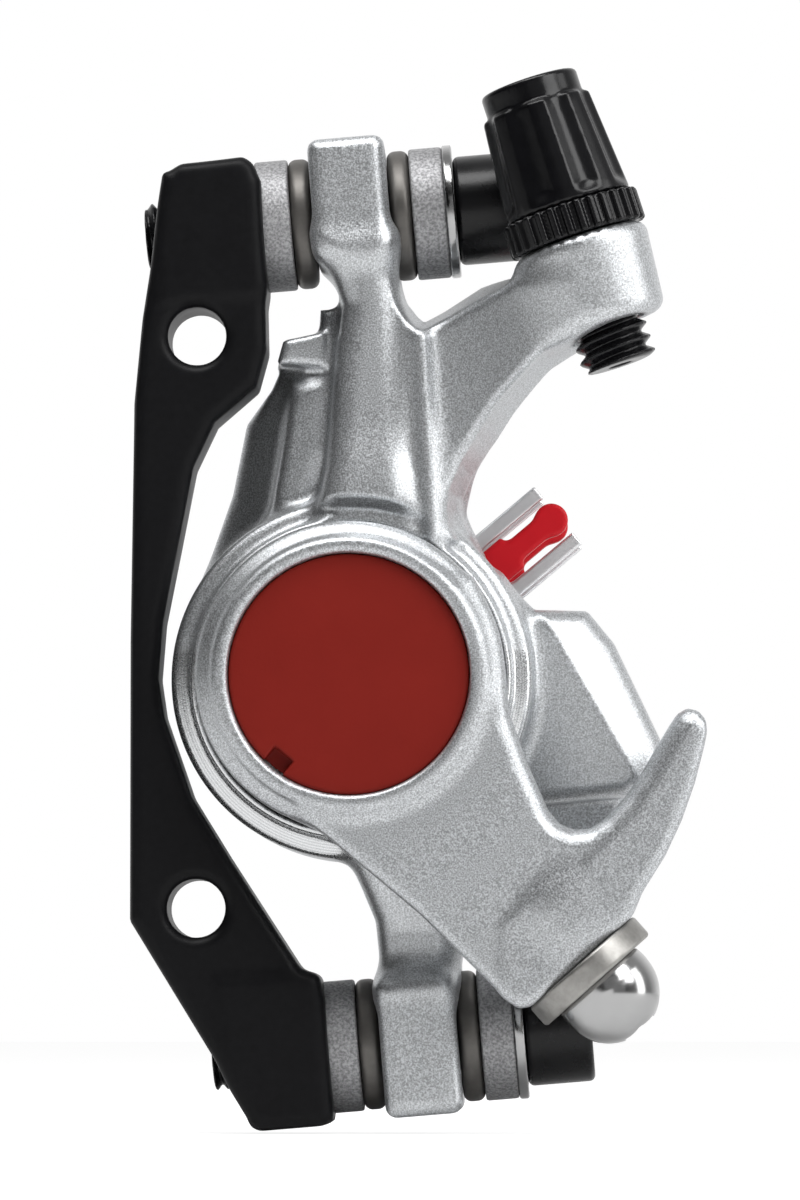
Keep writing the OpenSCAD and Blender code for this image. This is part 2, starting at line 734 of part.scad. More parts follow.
module ball_cage() {
  color([0.35, 0.33, 0.28]) difference() {
    bar(cam_r - 0.4, ball_y - 0.45, ball_y + 0.45);
    bar(shaft_r + free_gap, ball_y - 1, ball_y + 1);
    for (k = [0:2]) ball_place(k) cylinder(h = 4, d = ball_d + 2 * run_fit, center = true, $fn = 48);
  }
}

module ball_place(k) translate([hub_x, ball_y, hub_z]) rotate([90, 0, 0])
  rotate(k * 120) translate([ball_ring_r, 0, 0]) children();

module ramp_balls() color([0.8, 0.8, 0.82]) for (k = [0:2]) ball_place(k) sphere(d = ball_d, $fn = 48);

// Seat for a leg of the return spring, at an angle about the hub.
module spring_leg_hole(y0, y1, angle)
  bar(spring_wire / 2 + spring_seat, y0, y1, [hub_x + spring_r * cos(angle), hub_z + spring_r * sin(angle)], 24);

// Points of the return spring: a leg into the arm, the coil, and a leg into the housing.
spring_turns = 1.5;
spring_low = arm_back - spring_room + spring_wire / 2 + spring_seat;
spring_high = collar_front - spring_wire / 2 - 0.2;
function coil_point(t) =
  [spring_r * cos(180 + 360 * spring_turns * t), spring_low + (spring_high - spring_low) * t,
   spring_r * sin(180 + 360 * spring_turns * t)];
spring_steps = 44;
spring_path = concat(
  [[-spring_r, spring_low - 1.15, 0], [-spring_r, spring_low - 0.75, 0]],
  [for (i = [0:spring_steps]) coil_point(i / spring_steps)],
  [[spring_r, spring_high + 0.9, 0], [spring_r, spring_high + 1.6, 0]]
);

function unit(v) = v / norm(v);
function along(path, i) = unit(path[min(i + 1, len(path) - 1)] - path[max(i - 1, 0)]);

// A wire of radius r along path, with its rings kept square to a vector that is never along it.
module wire(path, r, sides) {
  n = len(path);
  rings = [for (i = [0:n - 1]) let (
      d = along(path, i),
      out = unit([path[i][0], 0, path[i][2]]),
      a = unit(out - (out * d) * d),
      b = cross(d, a)
    ) for (k = [0:sides - 1]) path[i] + r * (cos(360 * k / sides) * a + sin(360 * k / sides) * b)];
  faces = concat(
    [[for (k = [0:sides - 1]) k]],
    [for (i = [0:n - 2], k = [0:sides - 1]) let (k2 = (k + 1) % sides)
      [i * sides + k, (i + 1) * sides + k, (i + 1) * sides + k2, i * sides + k2]],
    [[for (k = [sides - 1:-1:0]) (n - 1) * sides + k]]
  );
  polyhedron(points = rings, faces = faces, convexity = 6);
}

module return_spring() color([0.6, 0.6, 0.62]) translate([hub_x, 0, hub_z])
  wire(spring_path, spring_wire / 2, 10);

module dust_seal() color([0.08, 0.08, 0.08]) turned()
  translate([seal_r, collar_front - 0.4]) square([seal_w, seal_h]);

module pressure_foot() {
  color([0.55, 0.55, 0.57]) union() {
    bar(6.4, flange_back + run_fit, outer_plate_front);
    bar(spigot_r, flange_back - 1.8, flange_back + run_fit + eps);
  }
}

// Pad plate outline with its tail.
module pad_outline() fillet(0.8) union() {
  translate([hub_x, hub_z]) circle(r = pad_r, $fn = fine);
  on_tail() {
    translate([0, -tail_w / 2]) square([tail_reach - 4.6, tail_w]);
    polygon([
      [tail_reach - 4.7, -tail_w / 2], [tail_reach - 3.4, -tail_end_r + 0.5], [tail_reach, -tail_end_r + 0.4],
      [tail_reach, tail_end_r - 0.4], [tail_reach - 3.4, tail_end_r - 0.5], [tail_reach - 4.7, tail_w / 2]
    ]);
    translate([tail_reach, 0]) circle(r = tail_end_r, $fn = 48);
  }
}

module outer_pad_plate() color([0.80, 0.07, 0.05]) slab(outer_plate_front, outer_plate_back) pad_outline();

module inner_pad_plate() color([0.80, 0.07, 0.05]) slab(inner_plate_front, inner_plate_back) pad_outline();

module outer_pad_lining() color([0.25, 0.22, 0.2]) bar(lining_r, outer_plate_back, outer_face);

module inner_pad_lining() color([0.25, 0.22, 0.2]) bar(lining_r, inner_face, inner_plate_front);

// The pad spring: two forked leaves, one against each plate, joined by a cross strip.
module pad_spring() {
  fork_out = 24;
  fork_in = 13.6;
  slot_in = 17.4;
  fork_w = 6.8;
  slot_w = 4;
  outer_leaf = outer_plate_back;
  inner_leaf = inner_plate_front - sheet_t;
  color([0.82, 0.82, 0.83]) {
    for (y = [outer_leaf, inner_leaf]) slab(y, y + sheet_t) on_tail() difference() {
      translate([fork_in, -fork_w / 2]) square([fork_out - fork_in, fork_w]);
      translate([slot_in, 0]) circle(d = slot_w, $fn = 32);
      translate([slot_in, -slot_w / 2]) square([10, slot_w]);
    }
    slab(outer_leaf, inner_leaf + sheet_t) on_tail()
      translate([fork_in, -fork_w / 2]) square([sheet_t, fork_w]);
  }
}

module inner_foot() {
  color([0.55, 0.55, 0.57]) difference() {
    bar(foot_r, inner_plate_back + run_fit, body_back - 0.9);
    bar(knob_hex_r + run_fit, inner_plate_back + 1, body_back + 1, [hub_x, hub_z], 6);
  }
}

module adjuster_knob() {
  grips = 12;
  grip_r = 1.5;
  dish = 1.2;
  color([0.70, 0.10, 0.07]) difference() {
    union() {
      bar(knob_r - 0.6, knob_front, knob_front + knob_t);
      bar(knob_r, knob_front + 0.6, knob_front + knob_t - 0.6);
      bar(knob_hex_r - run_fit, inner_plate_back + 1.4, knob_front + eps, [hub_x, hub_z], 6);
    }
    for (k = [0:grips - 1]) bar(grip_r, knob_front - 1, knob_front + knob_t + 1,
      [hub_x + (knob_r + 0.5) * cos(k * 360 / grips), hub_z + (knob_r + 0.5) * sin(k * 360 / grips)], 32);
    bar(knob_r - 3.4, knob_front + knob_t - dish, knob_front + knob_t + 1);
  }
}

module knob_spring() color([0.7, 0.7, 0.7]) turned()
  translate([click_r, body_back + 0.1]) circle(r = click_wire, $fn = 32);

module adjuster_barrel() {
  flutes = 8;
  flute_r = 1.6;
  flute_deep = 0.5;
  lean = atan((barrel_d - barrel_top_d - 1) / 2 / barrel_l);
  top = ring_t + barrel_l;
  color([0.03, 0.03, 0.03]) on_stop() difference() {
    union() {
      translate([0, 0, ring_t]) cylinder(h = barrel_l, d1 = barrel_d, d2 = barrel_top_d + 1, $fn = fine);
      translate([0, 0, top - eps]) cylinder(h = barrel_top_h + eps, d = barrel_top_d, $fn = fine);
      translate([0, 0, -boss_l - stem_out])
        cylinder(h = boss_l + stem_out + ring_t + eps, d = stem_d, $fn = fine);
    }
    for (k = [0:flutes - 1]) rotate(k * 360 / flutes + 22)
      translate([barrel_d / 2 + flute_r - flute_deep, 0, ring_t + 1.6]) rotate([0, -lean, 0])
        cylinder(h = barrel_l, r = flute_r, $fn = 24);
    translate([0, 0, top + barrel_top_h - housing_depth])
      cylinder(h = housing_depth + 1, d = housing_d, $fn = fine);
    translate([0, 0, -boss_l - stem_out - 1]) cylinder(h = 40, d = cable_d, $fn = fine);
  }
}

module lock_ring() {
  ribs = 30;
  color([0.03, 0.03, 0.03]) on_stop() translate([0, 0, 0.05]) linear_extrude(ring_t - 0.1) difference() {
    circle(d = ring_d, $fn = fine * 2);
    for (k = [0:ribs - 1]) rotate(k * 360 / ribs) translate([ring_d / 2 + 0.1, 0]) circle(r = 0.35, $fn = 12);
    circle(d = stem_d + 2 * run_fit, $fn = fine);
  }
}

mounting_bracket();
mount_bolt(1);  // upper_mount_bolt
mount_bolt(-1);  // lower_mount_bolt
cup_washer(1, 0, 1);  // upper_inner_cup
ball_washer(1, ear_s, -1);  // upper_inner_ball
ball_washer(1, outer_ball_s, 1);  // upper_outer_ball
cup_washer(1, thin_s, -1);  // upper_outer_cup
thin_washer(1);  // upper_thin_washer
cup_washer(-1, 0, 1);  // lower_inner_cup
ball_washer(-1, ear_s, -1);  // lower_inner_ball
ball_washer(-1, outer_ball_s, 1);  // lower_outer_ball
cup_washer(-1, thin_s, -1);  // lower_outer_cup
thin_washer(-1);  // lower_thin_washer
outer_body();
inner_body();
body_bolt(upper_bolt_at);  // upper_body_bolt
body_bolt(lower_bolt_at);  // lower_body_bolt
actuating_arm();
arm_cap();
arm_screw();
drive_cam();
clamp_washer();
clamp_bolt();
fixed_cam();
ball_cage();
ramp_balls();
return_spring();
dust_seal();
pressure_foot();
outer_pad_plate();
outer_pad_lining();
inner_foot();
inner_pad_plate();
inner_pad_lining();
pad_spring();
adjuster_knob();
knob_spring();
adjuster_barrel();
lock_ring();
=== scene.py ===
"""Dresses the mechanical disc brake: castings, bolts, washers, pads and finishes around its frame.

Shapes are worked out in millimetres as distance fields on a grid, meshed once, and put down in metres.
X runs right, Y inward to the wheel and Z up. The origin is midway between the frame bolt holes.
"""

import json
import math

import bpy
import numpy as np
import openvdb
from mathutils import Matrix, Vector


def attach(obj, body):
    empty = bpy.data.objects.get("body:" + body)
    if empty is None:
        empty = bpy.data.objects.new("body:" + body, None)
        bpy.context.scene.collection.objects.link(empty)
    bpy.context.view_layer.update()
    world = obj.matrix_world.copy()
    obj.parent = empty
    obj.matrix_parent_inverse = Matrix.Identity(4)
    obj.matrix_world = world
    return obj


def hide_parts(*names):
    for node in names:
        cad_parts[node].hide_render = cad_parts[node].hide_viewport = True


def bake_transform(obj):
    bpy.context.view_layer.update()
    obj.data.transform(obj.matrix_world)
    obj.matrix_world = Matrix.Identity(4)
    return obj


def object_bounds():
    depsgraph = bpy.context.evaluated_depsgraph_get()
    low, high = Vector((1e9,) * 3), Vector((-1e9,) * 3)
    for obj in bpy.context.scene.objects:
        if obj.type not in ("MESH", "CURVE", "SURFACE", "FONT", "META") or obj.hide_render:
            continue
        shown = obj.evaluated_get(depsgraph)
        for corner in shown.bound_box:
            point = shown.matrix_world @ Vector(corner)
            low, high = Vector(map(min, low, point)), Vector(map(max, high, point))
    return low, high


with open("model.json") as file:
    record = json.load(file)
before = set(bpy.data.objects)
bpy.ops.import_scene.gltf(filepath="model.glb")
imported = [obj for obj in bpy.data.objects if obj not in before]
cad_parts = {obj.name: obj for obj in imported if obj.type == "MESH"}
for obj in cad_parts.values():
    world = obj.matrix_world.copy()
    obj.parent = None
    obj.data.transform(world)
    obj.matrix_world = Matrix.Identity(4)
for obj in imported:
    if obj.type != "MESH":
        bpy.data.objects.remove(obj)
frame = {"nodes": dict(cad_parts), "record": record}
cad_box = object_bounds()

MM = 0.001

# All sizes are in millimetres. Places in the front plane are X and Z.
HUB = (13.8, -5.1)

# Bracket, its two posts, and the mount bolts with their washers
FRAME_PITCH = 51.0
FRAME_HOLE_R = 2.6
BRACKET_T = 9.0
POST_DEPTH = 14.0
POST_H = 13.4
POST_MID = (8.35, -1.0)
POST_PITCH = 74.0
POST_TILT = math.radians(4.7)
POST_Y = 7.0
UPPER_POST_TOP = 4.4
POST_CORNER = 1.0
BOLT_R = 3.0
BOLT_PITCH = 1.0
BOLT_REACH = 10.2
HEAD_R = 4.9
HEAD_H = 6.0
HEAD_SOCKET = 5.0
HEAD_SOCKET_L = 3
WASHER_R = 5.9
CUP_T = 3.0
CUP_HOLE_R = 3.7
BALL_T = 2.0
BALL_HOLE_R = 3.5
THIN_T = 0.9
THIN_HOLE_R = 3.2
SEAT_R = 9.0
SEAT_EDGE_R = 4.8
SEAT_DROP = SEAT_R - math.sqrt(SEAT_R ** 2 - SEAT_EDGE_R ** 2)

# Ears of the outer casting. Names that end in _S are distances along a mount bolt from the bracket.
EAR_T = 6.9
EAR_S = CUP_T + BALL_T
OUTER_BALL_S = EAR_S + EAR_T
OUTER_CUP_S = OUTER_BALL_S + BALL_T
THIN_S = OUTER_CUP_S + CUP_T
HEAD_S = THIN_S + THIN_T
EAR_REACH = 6.7
EAR_DEPTH = 14.7
EAR_BACK = POST_Y + EAR_DEPTH / 2
EAR_CORNER = 1.0
# Side, lower end, upper end and front of each ear
EARS = ((-1, -EAR_REACH, 5.6, -1.05), (1, -4, EAR_REACH, -1.2))
SLOT_HALF = 5.8

# Castings, and the bores about the hub axis
SHELL_R = 16.1
SHELL_FRONT = 1.0
COLLAR_R = 14.3
COLLAR_FRONT = -1.2
LEG_SLOPE = 0.17
SPINE_FRONT = -1.25
SPINE_STEP = 1.1
WING_FRONT = 3.6
WING_SLOPE = 0.25
WING_FALL = 0.74
LENS_FRONT = 3.3
WING_STEP_FRONT = 3.2
LEG_BACK = 13.6
SPINE_BACK = 13
STOP_ARM_FRONT = -1.0
STOP_ARM_FORWARD = 6.6
STOP_ARM_BACK = 11.5
STOP_ARM_THINNER = 8.3
RIDGE_FRONT = 2.8
CREASE_AT = (31.4, -0.3)
CREASE_ACROSS = (0.866, 0.499)
FOOT_FRONT = 9.1
GAP_FRONT = 14.8
ROTOR_Y = 17.0
GAP_BACK = 19.2
BODY_BACK = 28.0
SCREW_BORE_R = 5.25
CAM_BORE_R = 9.75
SEAL_R = 13.1
SEAL_HALF = 0.55
INNER_BORE_R = 7.05
CLICK_R = 9.2
UPPER_BOLT = (18.4, 19.3)
LOWER_BOLT = (35.0, -7.3)
BODY_BOLT_BORE_R = 2.55
BODY_BOLT_SEAT_R = 4.3

# Pads, their spring and the rotor's rim
PAD_R = 10.5
PAD_T = 1.5
OUTER_PAD_Y = 11.8
INNER_PAD_Y = 20.8
TAIL_ANGLE = math.radians(40)
TAIL_REACH = 23.2
TAIL_HALF = 1.7
TAIL_END_R = 1.5
WINDOW_HALF = 3.9
SPRING_MIDDLE = 17.05
SPRING_T = 0.4
SPRING_HALF = 3.4
RIM_R = 81.5
ROTOR_REACH = 69
ROTOR_AT = (HUB[0] - ROTOR_REACH * math.cos(TAIL_ANGLE), HUB[1] - ROTOR_REACH * math.sin(TAIL_ANGLE))

# Arm, cap and cable clamp
ARM_FRONT = -8.2
ARM_BACK = -3.0
ARM_TAIL_BACK = 1.0
ARM_TAIL_FROM = 20
ARM_HUB_R = 13.6
ARM_EDGE = 0.75
NOTCH_EDGE = 1.1
LIP_H = 0.8
CAP_R = 10.6
CAP_BACK = -6.9
CAP_NOTCH_AT = math.radians(231)
CAP_NOTCH_HALF = 1.05
CAP_NOTCH_L = 1.6
CABLE_Y = -3.5
CLAMP_AT = (34.2, CABLE_Y, -30.3)
CLAMP_ANGLE = math.radians(-48.4)
CLAMP_R = 6.1
CLAMP_T = 2.2
CLAMP_BOLT_R = 2.5
SWELL_R = 5.1
DOME_R = 4.5
DOME_H = 5.9
DOME_SOCKET = 3.0

# Cable stop, barrel and knurled ring
STOP_AT = (34.1, CABLE_Y, 33.6)
STOP_TILT = math.radians(18)
BOSS_R = 6.1
BOSS_L = 8.1
STEM_R = 3.4
STEM_PITCH = 1.25
STEM_OUT = 3.6
RING_R = 6.2
RING_T = 3.0
RING_RIBS = 30
RIB_DEPTH = 0.42
BARREL_R = 5.7
BARREL_L = 9.5
BARREL_TOP_R = 4.4
BARREL_TOP_H = 2.2
BARREL_BORE_R = 2.6
CABLE_BORE_R = 1.0
FLUTES = 8
FLUTE_AT = math.radians(68)
FLUTE_DEPTH = 0.42

# Rear knob
KNOB_R = 10.8
KNOB_FRONT = 28.7
KNOB_BACK = 33.1
KNOB_GRIPS = 12
KNOB_GRIP_AT = 11.3
KNOB_GRIP_R = 1.5
KNOB_DISH_R = 7.4

# A sloped or ribbed field rises faster than distance does, and these bring it back
SLOPED = 0.92
STEEP = 0.88
FLUTED = 0.9
RIBBED = 0.8

# The room's light, and how much more of it comes from each direction
WORLD_BASE = 0.12
WORLD_BACK = 0.24
WORLD_RIGHT = 0.13
WORLD_TOP = 0.22


class Grid:
    """A box of points, in millimetres, on which a shape's distance field is worked out."""

    def __init__(self, low, high, step):
        self.low = low
        self.step = step
        x, y, z = (np.arange(low[i], high[i] + step, step, dtype=np.float32) for i in range(3))
        self.x = x[:, None, None]
        self.y = y[None, :, None]
        self.z = z[None, None, :]


def join(a, b, soft=0.0):
    """Union of two fields, with a fillet of about soft."""
    if soft <= 0:
        return np.minimum(a, b)
    h = np.clip(0.5 + 0.5 * (b - a) / soft, 0, 1)
    return b + (a - b) * h - soft * h * (1 - h)


def common(a, b, soft=0.0):
    return -join(-a, -b, soft)


def cut(a, b, soft=0.0):
    """a with b taken away, with the edge broken by about soft."""
    return -join(-a, b, soft)


def outline(u, v, points):
    """Signed distance in a plane to a closed outline, negative inside."""
    count = len(points)
    best = None
    inside = np.zeros(np.broadcast(u, v).shape, bool)
    for i in range(count):
        ax, ay = points[i]
        bx, by = points[(i + 1) % count]
        ex, ey = bx - ax, by - ay
        t = np.clip(((u - ax) * ex + (v - ay) * ey) / (ex * ex + ey * ey), 0, 1)
        gap = (u - ax - ex * t) ** 2 + (v - ay - ey * t) ** 2
        best = gap if best is None else np.minimum(best, gap)
        if ay != by:
            crosses = (ay > v) != (by > v)
            inside ^= crosses & (u < ax + (v - ay) * (ex / ey))
    best = np.sqrt(best)
    return np.where(inside, -best, best)


def line_gap(u, v, points):
    """Distance in a plane to an open line of points."""
    best = None
    for (ax, ay), (bx, by) in zip(points, points[1:]):
        ex, ey = bx - ax, by - ay
        t = np.clip(((u - ax) * ex + (v - ay) * ey) / (ex * ex + ey * ey), 0, 1)
        gap = (u - ax - ex * t) ** 2 + (v - ay - ey * t) ** 2
        best = gap if best is None else np.minimum(best, gap)
    return np.sqrt(best)


def between(w, w0, w1):
    """Distance to the slice of space from w0 to w1."""
    return np.abs(w - (w0 + w1) / 2) - (w1 - w0) / 2


def ease(value, low, high):
    """A smooth step from 0 at low to 1 at high."""
    t = np.clip((value - low) / (high - low), 0, 1)
    return t * t * (3 - 2 * t)


def disc(u, v, at, r):
    return np.sqrt((u - at[0]) ** 2 + (v - at[1]) ** 2) - r


def thick(flat, w, w0, w1, edge=0.0):
    """A flat field run from w0 to w1, with its edges rounded by edge."""
    side = between(w, w0, w1) + edge
    flat = flat + edge
    outside = np.sqrt(np.maximum(flat, 0) ** 2 + np.maximum(side, 0) ** 2)
    return outside + np.minimum(np.maximum(flat, side), 0) - edge


def local(grid, at, along, side=(0, 1, 0)):
    """Coordinates of the grid in a frame at a point: two across, and one along an axis."""
    w = Vector(along).normalized()
    v = Vector(side)
    u = v.cross(w).normalized()
    v = w.cross(u)
    dx, dy, dz = grid.x - at[0], grid.y - at[1], grid.z - at[2]
    return tuple(dx * a.x + dy * a.y + dz * a.z for a in (u, v, w))


def rod(u, v, w, r, w0, w1, edge=0.0):
    return thick(np.sqrt(u * u + v * v) - r, w, w0, w1, edge)


def cone(u, v, w, r0, r1, w0, w1, edge=0.0):
    """A round bar that tapers from r0 at w0 to r1 at w1."""
    slope = (r1 - r0) / (w1 - w0)
    radius = r0 + slope * (w - w0)
    return thick((np.sqrt(u * u + v * v) - radius) / math.sqrt(1 + slope * slope), w, w0, w1, edge)


def prism(u, v, w, across, sides, w0, w1, edge=0.0):
    """A bar with flat sides, measured across its flats."""
    flat = None
    for k in range(sides):
        a = 2 * math.pi * k / sides
        face = u * math.cos(a) + v * math.sin(a) - across / 2
        flat = face if flat is None else np.maximum(flat, face)
    return thick(flat, w, w0, w1, edge)


def thread(u, v, w, r, pitch, depth):
    """Distance to a thread's crests and roots on a rod of outer radius r."""
    turn = np.arctan2(v, u) / (2 * math.pi)
    phase = (w / pitch - turn) % 1.0
    tooth = np.abs(phase - 0.5) * 2
    root = depth * np.clip(1.15 - 1.3 * tooth, 0, 1)
    return (np.sqrt(u * u + v * v) - r + root) * RIBBED


def mesh_of(name, grid, field):
    """Meshes the surface where the field is zero, in metres."""
    turned_highlight_band = 4 * grid.step
    volume = openvdb.FloatGrid(turned_highlight_band)
    volume.copyFromArray(np.ascontiguousarray(np.clip(field, -turned_highlight_band, turned_highlight_band).astype(np.float32)))
    points, triangles, quads = volume.convertToPolygons(isovalue=0.0, adaptivity=0.0)
    points = (points * grid.step + np.array(grid.low, np.float32)) * MM
    mesh = bpy.data.meshes.new(name)
    mesh.vertices.add(len(points))
    mesh.vertices.foreach_set("co", points.astype(np.float32).ravel())
    corners = np.concatenate([quads.ravel(), triangles.ravel()]).astype(np.int32)
    sizes = np.concatenate([np.full(len(quads), 4), np.full(len(triangles), 3)]).astype(np.int32)
    starts = np.concatenate([[0], np.cumsum(sizes)[:-1]]).astype(np.int32)
    mesh.loops.add(len(corners))
    mesh.loops.foreach_set("vertex_index", corners)
    mesh.polygons.add(len(sizes))
    mesh.polygons.foreach_set("loop_start", starts)
    mesh.polygons.foreach_set("use_smooth", np.ones(len(sizes), bool))
    mesh.update(calc_edges=True)
    mesh.validate()
    return mesh


# Share of its faces that a piece keeps. The dense ones give up more, and the bracket's flat back none.
USUAL_KEPT = 0.42
FACES_KEPT = {
    "bracket": 1.0, "outer_casting": 0.60, "swing_arm": 0.58, "domed_bolt": 0.5, "knurled_ring": 0.62,
    "upper_cap_bolt": 0.32, "lower_cap_bolt": 0.32, "outer_pad": 0.3, "inner_pad": 0.3, "hub_cap": 0.3,
}
# Nodes of the frame that a piece has taken the place of
REPLACED = set()


def piece(name, grid, field, node, body, slot, finish=None):
    """Makes one piece from its field, in place of a node and riding on its body."""
    obj = bpy.data.objects.new(name, mesh_of(name, grid, field))
    bpy.context.scene.collection.objects.link(obj)
    obj.data.materials.append(FINISHES[finish or slot])
    REPLACED.add(node)
    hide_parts(node)
    if body:
        fewer = obj.modifiers.new("fewer_faces", "DECIMATE")
        fewer.ratio = FACES_KEPT.get(name, USUAL_KEPT)
        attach(obj, body)
    return obj


class Socket:
    """A node's output, on which Python's operators add Math nodes."""

    def __init__(self, maker, out):
        self.maker = maker
        self.out = out

    def _math(self, operation, *others):
        return self.maker.add("ShaderNodeMath", {"operation": operation}, dict(enumerate(others)))

    def __add__(self, other):
        return self._math("ADD", self, other)

    __radd__ = __add__

    def __mul__(self, other):
        return self._math("MULTIPLY", self, other)

    __rmul__ = __mul__

    def __sub__(self, other):
        return self._math("SUBTRACT", self, other)

    def __rsub__(self, other):
        return self._math("SUBTRACT", other, self)

    def sine(self):
        return self._math("SINE", self)

    def root(self):
        return self._math("SQRT", self)

    def limit(self):
        """The value held between 0 and 1."""
        return self.maker.add("ShaderNodeClamp", {}, {0: self})


class Nodes:
    """A tree of nodes under construction."""

    def __init__(self, tree):
        self.tree = tree

    def add(self, kind, settings, sockets, output=0):
        """Adds a node: its settings first, then the value or link of each socket."""
        node = self.tree.nodes.new(kind)
        for key, value in settings.items():
            if key == "stops":
                ramp = node.color_ramp
                while len(ramp.elements) < len(value):
                    ramp.elements.new(0.5)
                for element, (position, colour) in zip(ramp.elements, value):
                    element.position = position
                    element.color = colour
            else:
                setattr(node, key, value)
        for key, value in sockets.items():
            if isinstance(value, Socket):
                self.tree.links.new(value.out, node.inputs[key])
            else:
                node.inputs[key].default_value = value
        return Socket(self, node.outputs[output])

    def part(self, vector, axis):
        return self.add("ShaderNodeSeparateXYZ", {}, {0: vector}, axis)

    def seen_rays(self, mirrored_share):
        """1 for the rays that show the background directly, and a share of the mirrored and through rays."""
        camera = self.add("ShaderNodeLightPath", {}, {}, "Is Camera Ray")
        mirrored = self.add("ShaderNodeLightPath", {}, {}, "Is Glossy Ray")
        through = self.add("ShaderNodeLightPath", {}, {}, "Is Transmission Ray")
        return (camera + mirrored_share * (mirrored + through)).limit()

    def surface(self, shader, output):
        self.tree.links.new(shader.out, self.tree.nodes[output].inputs["Surface"])


class Finish(Nodes):
    """A material under construction."""

    def __init__(self, name, **constants):
        self.material = bpy.data.materials.new(name)
        self.material.use_nodes = True
        super().__init__(self.material.node_tree)
        self.shader = self.tree.nodes["Principled BSDF"]
        for key, value in constants.items():
            self.shader.inputs[key.replace("_", " ")].default_value = value
        self.where = self.add("ShaderNodeTexCoord", {}, {}, "Object")

    def noise(self, scale, detail=2.0, roughness=0.5):
        sockets = {"Vector": self.where, "Scale": scale, "Detail": detail, "Roughness": roughness}
        return self.add("ShaderNodeTexNoise", {}, sockets, "Fac")

    def cells(self, scale):
        return self.add("ShaderNodeTexVoronoi", {}, {"Vector": self.where, "Scale": scale}, "Distance")

    def ramp(self, value, stops):
        """A grey ramp read as a value, from (position, value) pairs."""
        colours = [(p, (c, c, c, 1)) for p, c in stops]
        return self.add("ShaderNodeValToRGB", {"stops": colours}, {0: value})

    def blend(self, factor, a, b):
        """A colour between two colours, each of them a node's colour or four values."""
        return self.add("ShaderNodeMix", {"data_type": "RGBA"}, {"Factor": factor, 6: a, 7: b}, 2)

    def tint(self, factor, dark, light):
        """A colour between two plain colours."""
        return self.blend(factor, (*dark, 1), (*light, 1))

    def bump(self, height, strength, distance):
        sockets = {"Height": height, "Strength": strength, "Distance": distance * MM}
        return self.add("ShaderNodeBump", {}, sockets)

    def from_hub(self):
        """Distance from the hub axis, in metres."""
        across = self.part(self.where, "X") - HUB[0] * MM
        up = self.part(self.where, "Z") - HUB[1] * MM
        return (across * across + up * up).root()

    def shaded(self):
        return Socket(self, self.shader.outputs[0])

    def feed(self, **links):
        for key, value in links.items():
            self.tree.links.new(value.out, self.shader.inputs[key.replace("_", " ")])
        return self.material


def cast_paint(name, light, dark, turned_highlight=False):
    """Silver paint over a casting: fine bright flakes in a grey ground.

    A band from 13.8 to 16.1 mm from the hub axis has turning rings and a smoother surface, and is painted
    lighter on its lower side only: a painted highlight.
    """
    f = Finish(name)
    flakes = f.noise(7200, 1.0, 0.5)
    spark = f.ramp(flakes, [(0.34, 0.0), (0.70, 1.0)])
    cloud = f.noise(160, 2.0, 0.5)
    colour = f.tint(spark, dark, light)
    rough = 0.32 + 0.12 * spark + 0.06 * cloud
    metal = 0.84 + 0.12 * spark
    grain = f.bump(flakes, 0.3, 0.04)
    if turned_highlight:
        radius = f.from_hub()
        # Painted highlight: the band is made lighter and smoother only on its lower side.
        below = (-2 - 1000 * f.part(f.where, "Z")).limit()
        turned_highlight_band = below * f.ramp(radius * 50, [(0.690, 0.0), (0.700, 1.0), (0.800, 1.0), (0.806, 0.0)])
        rings = 0.5 + 0.5 * (radius * 26000).sine()
        colour = f.blend(turned_highlight_band, colour, f.tint(rings, (0.60, 0.61, 0.62), (0.82, 0.83, 0.84)))
        rough = rough - 0.16 * turned_highlight_band
    return f.feed(Base_Color=colour, Roughness=rough, Metallic=metal, Normal=grain)


def satin_black(name):
    """Satin black coat with a very fine orange-peel surface."""
    f = Finish(name, Specular_IOR_Level=0.13)
    skin = f.noise(1500, 3.0, 0.6)
    colour = f.tint(skin, (0.0035, 0.0035, 0.004), (0.0075, 0.0075, 0.0085))
    rough = 0.34 + 0.14 * f.noise(300, 2.0)
    return f.feed(Base_Color=colour, Roughness=rough, Normal=f.bump(skin, 0.2, 0.04))


def gloss_black(name, rough_low=0.16):
    f = Finish(name, Specular_IOR_Level=0.3)
    skin = f.noise(900, 2.0)
    colour = f.tint(skin, (0.003, 0.003, 0.0035), (0.006, 0.006, 0.007))
    rough = rough_low + 0.12 * f.noise(500, 2.0)
    return f.feed(Base_Color=colour, Roughness=rough, Normal=f.bump(skin, 0.15, 0.06))


def sand_blasted(name):
    """Matte grey metal with a coarse blasted grain."""
    f = Finish(name)
    grain = f.noise(3600, 3.0, 0.7)
    specks = f.ramp(f.noise(4200, 2.0, 0.6), [(0.36, 0.0), (0.66, 1.0)])
    colour = f.tint(specks, (0.24, 0.24, 0.245), (0.50, 0.50, 0.51))
    rough = 0.48 + 0.2 * grain
    metal = 0.70 + 0.15 * specks
    bumps = f.bump(grain, 0.5, 0.08)
    return f.feed(Base_Color=colour, Roughness=rough, Metallic=metal, Normal=bumps)


def smooth_steel(name, dark, light, rough_low):
    """Turned or rolled steel, with faint marks."""
    f = Finish(name, Metallic=0.9)
    marks = f.noise(700, 3.0, 0.6)
    colour = f.tint(marks, dark, light)
    rough = rough_low + 0.14 * f.noise(240, 2.0)
    return f.feed(Base_Color=colour, Roughness=rough, Normal=f.bump(marks, 0.08, 0.06))


def polished(name, dark, light):
    f = Finish(name, Metallic=1.0)
    smear = f.noise(160, 3.0, 0.6)
    colour = f.tint(smear, (dark, dark, dark), (light, light, light))
    rough = 0.12 + 0.12 * smear
    return f.feed(Base_Color=colour, Roughness=rough, Normal=f.bump(smear, 0.02, 0.1))


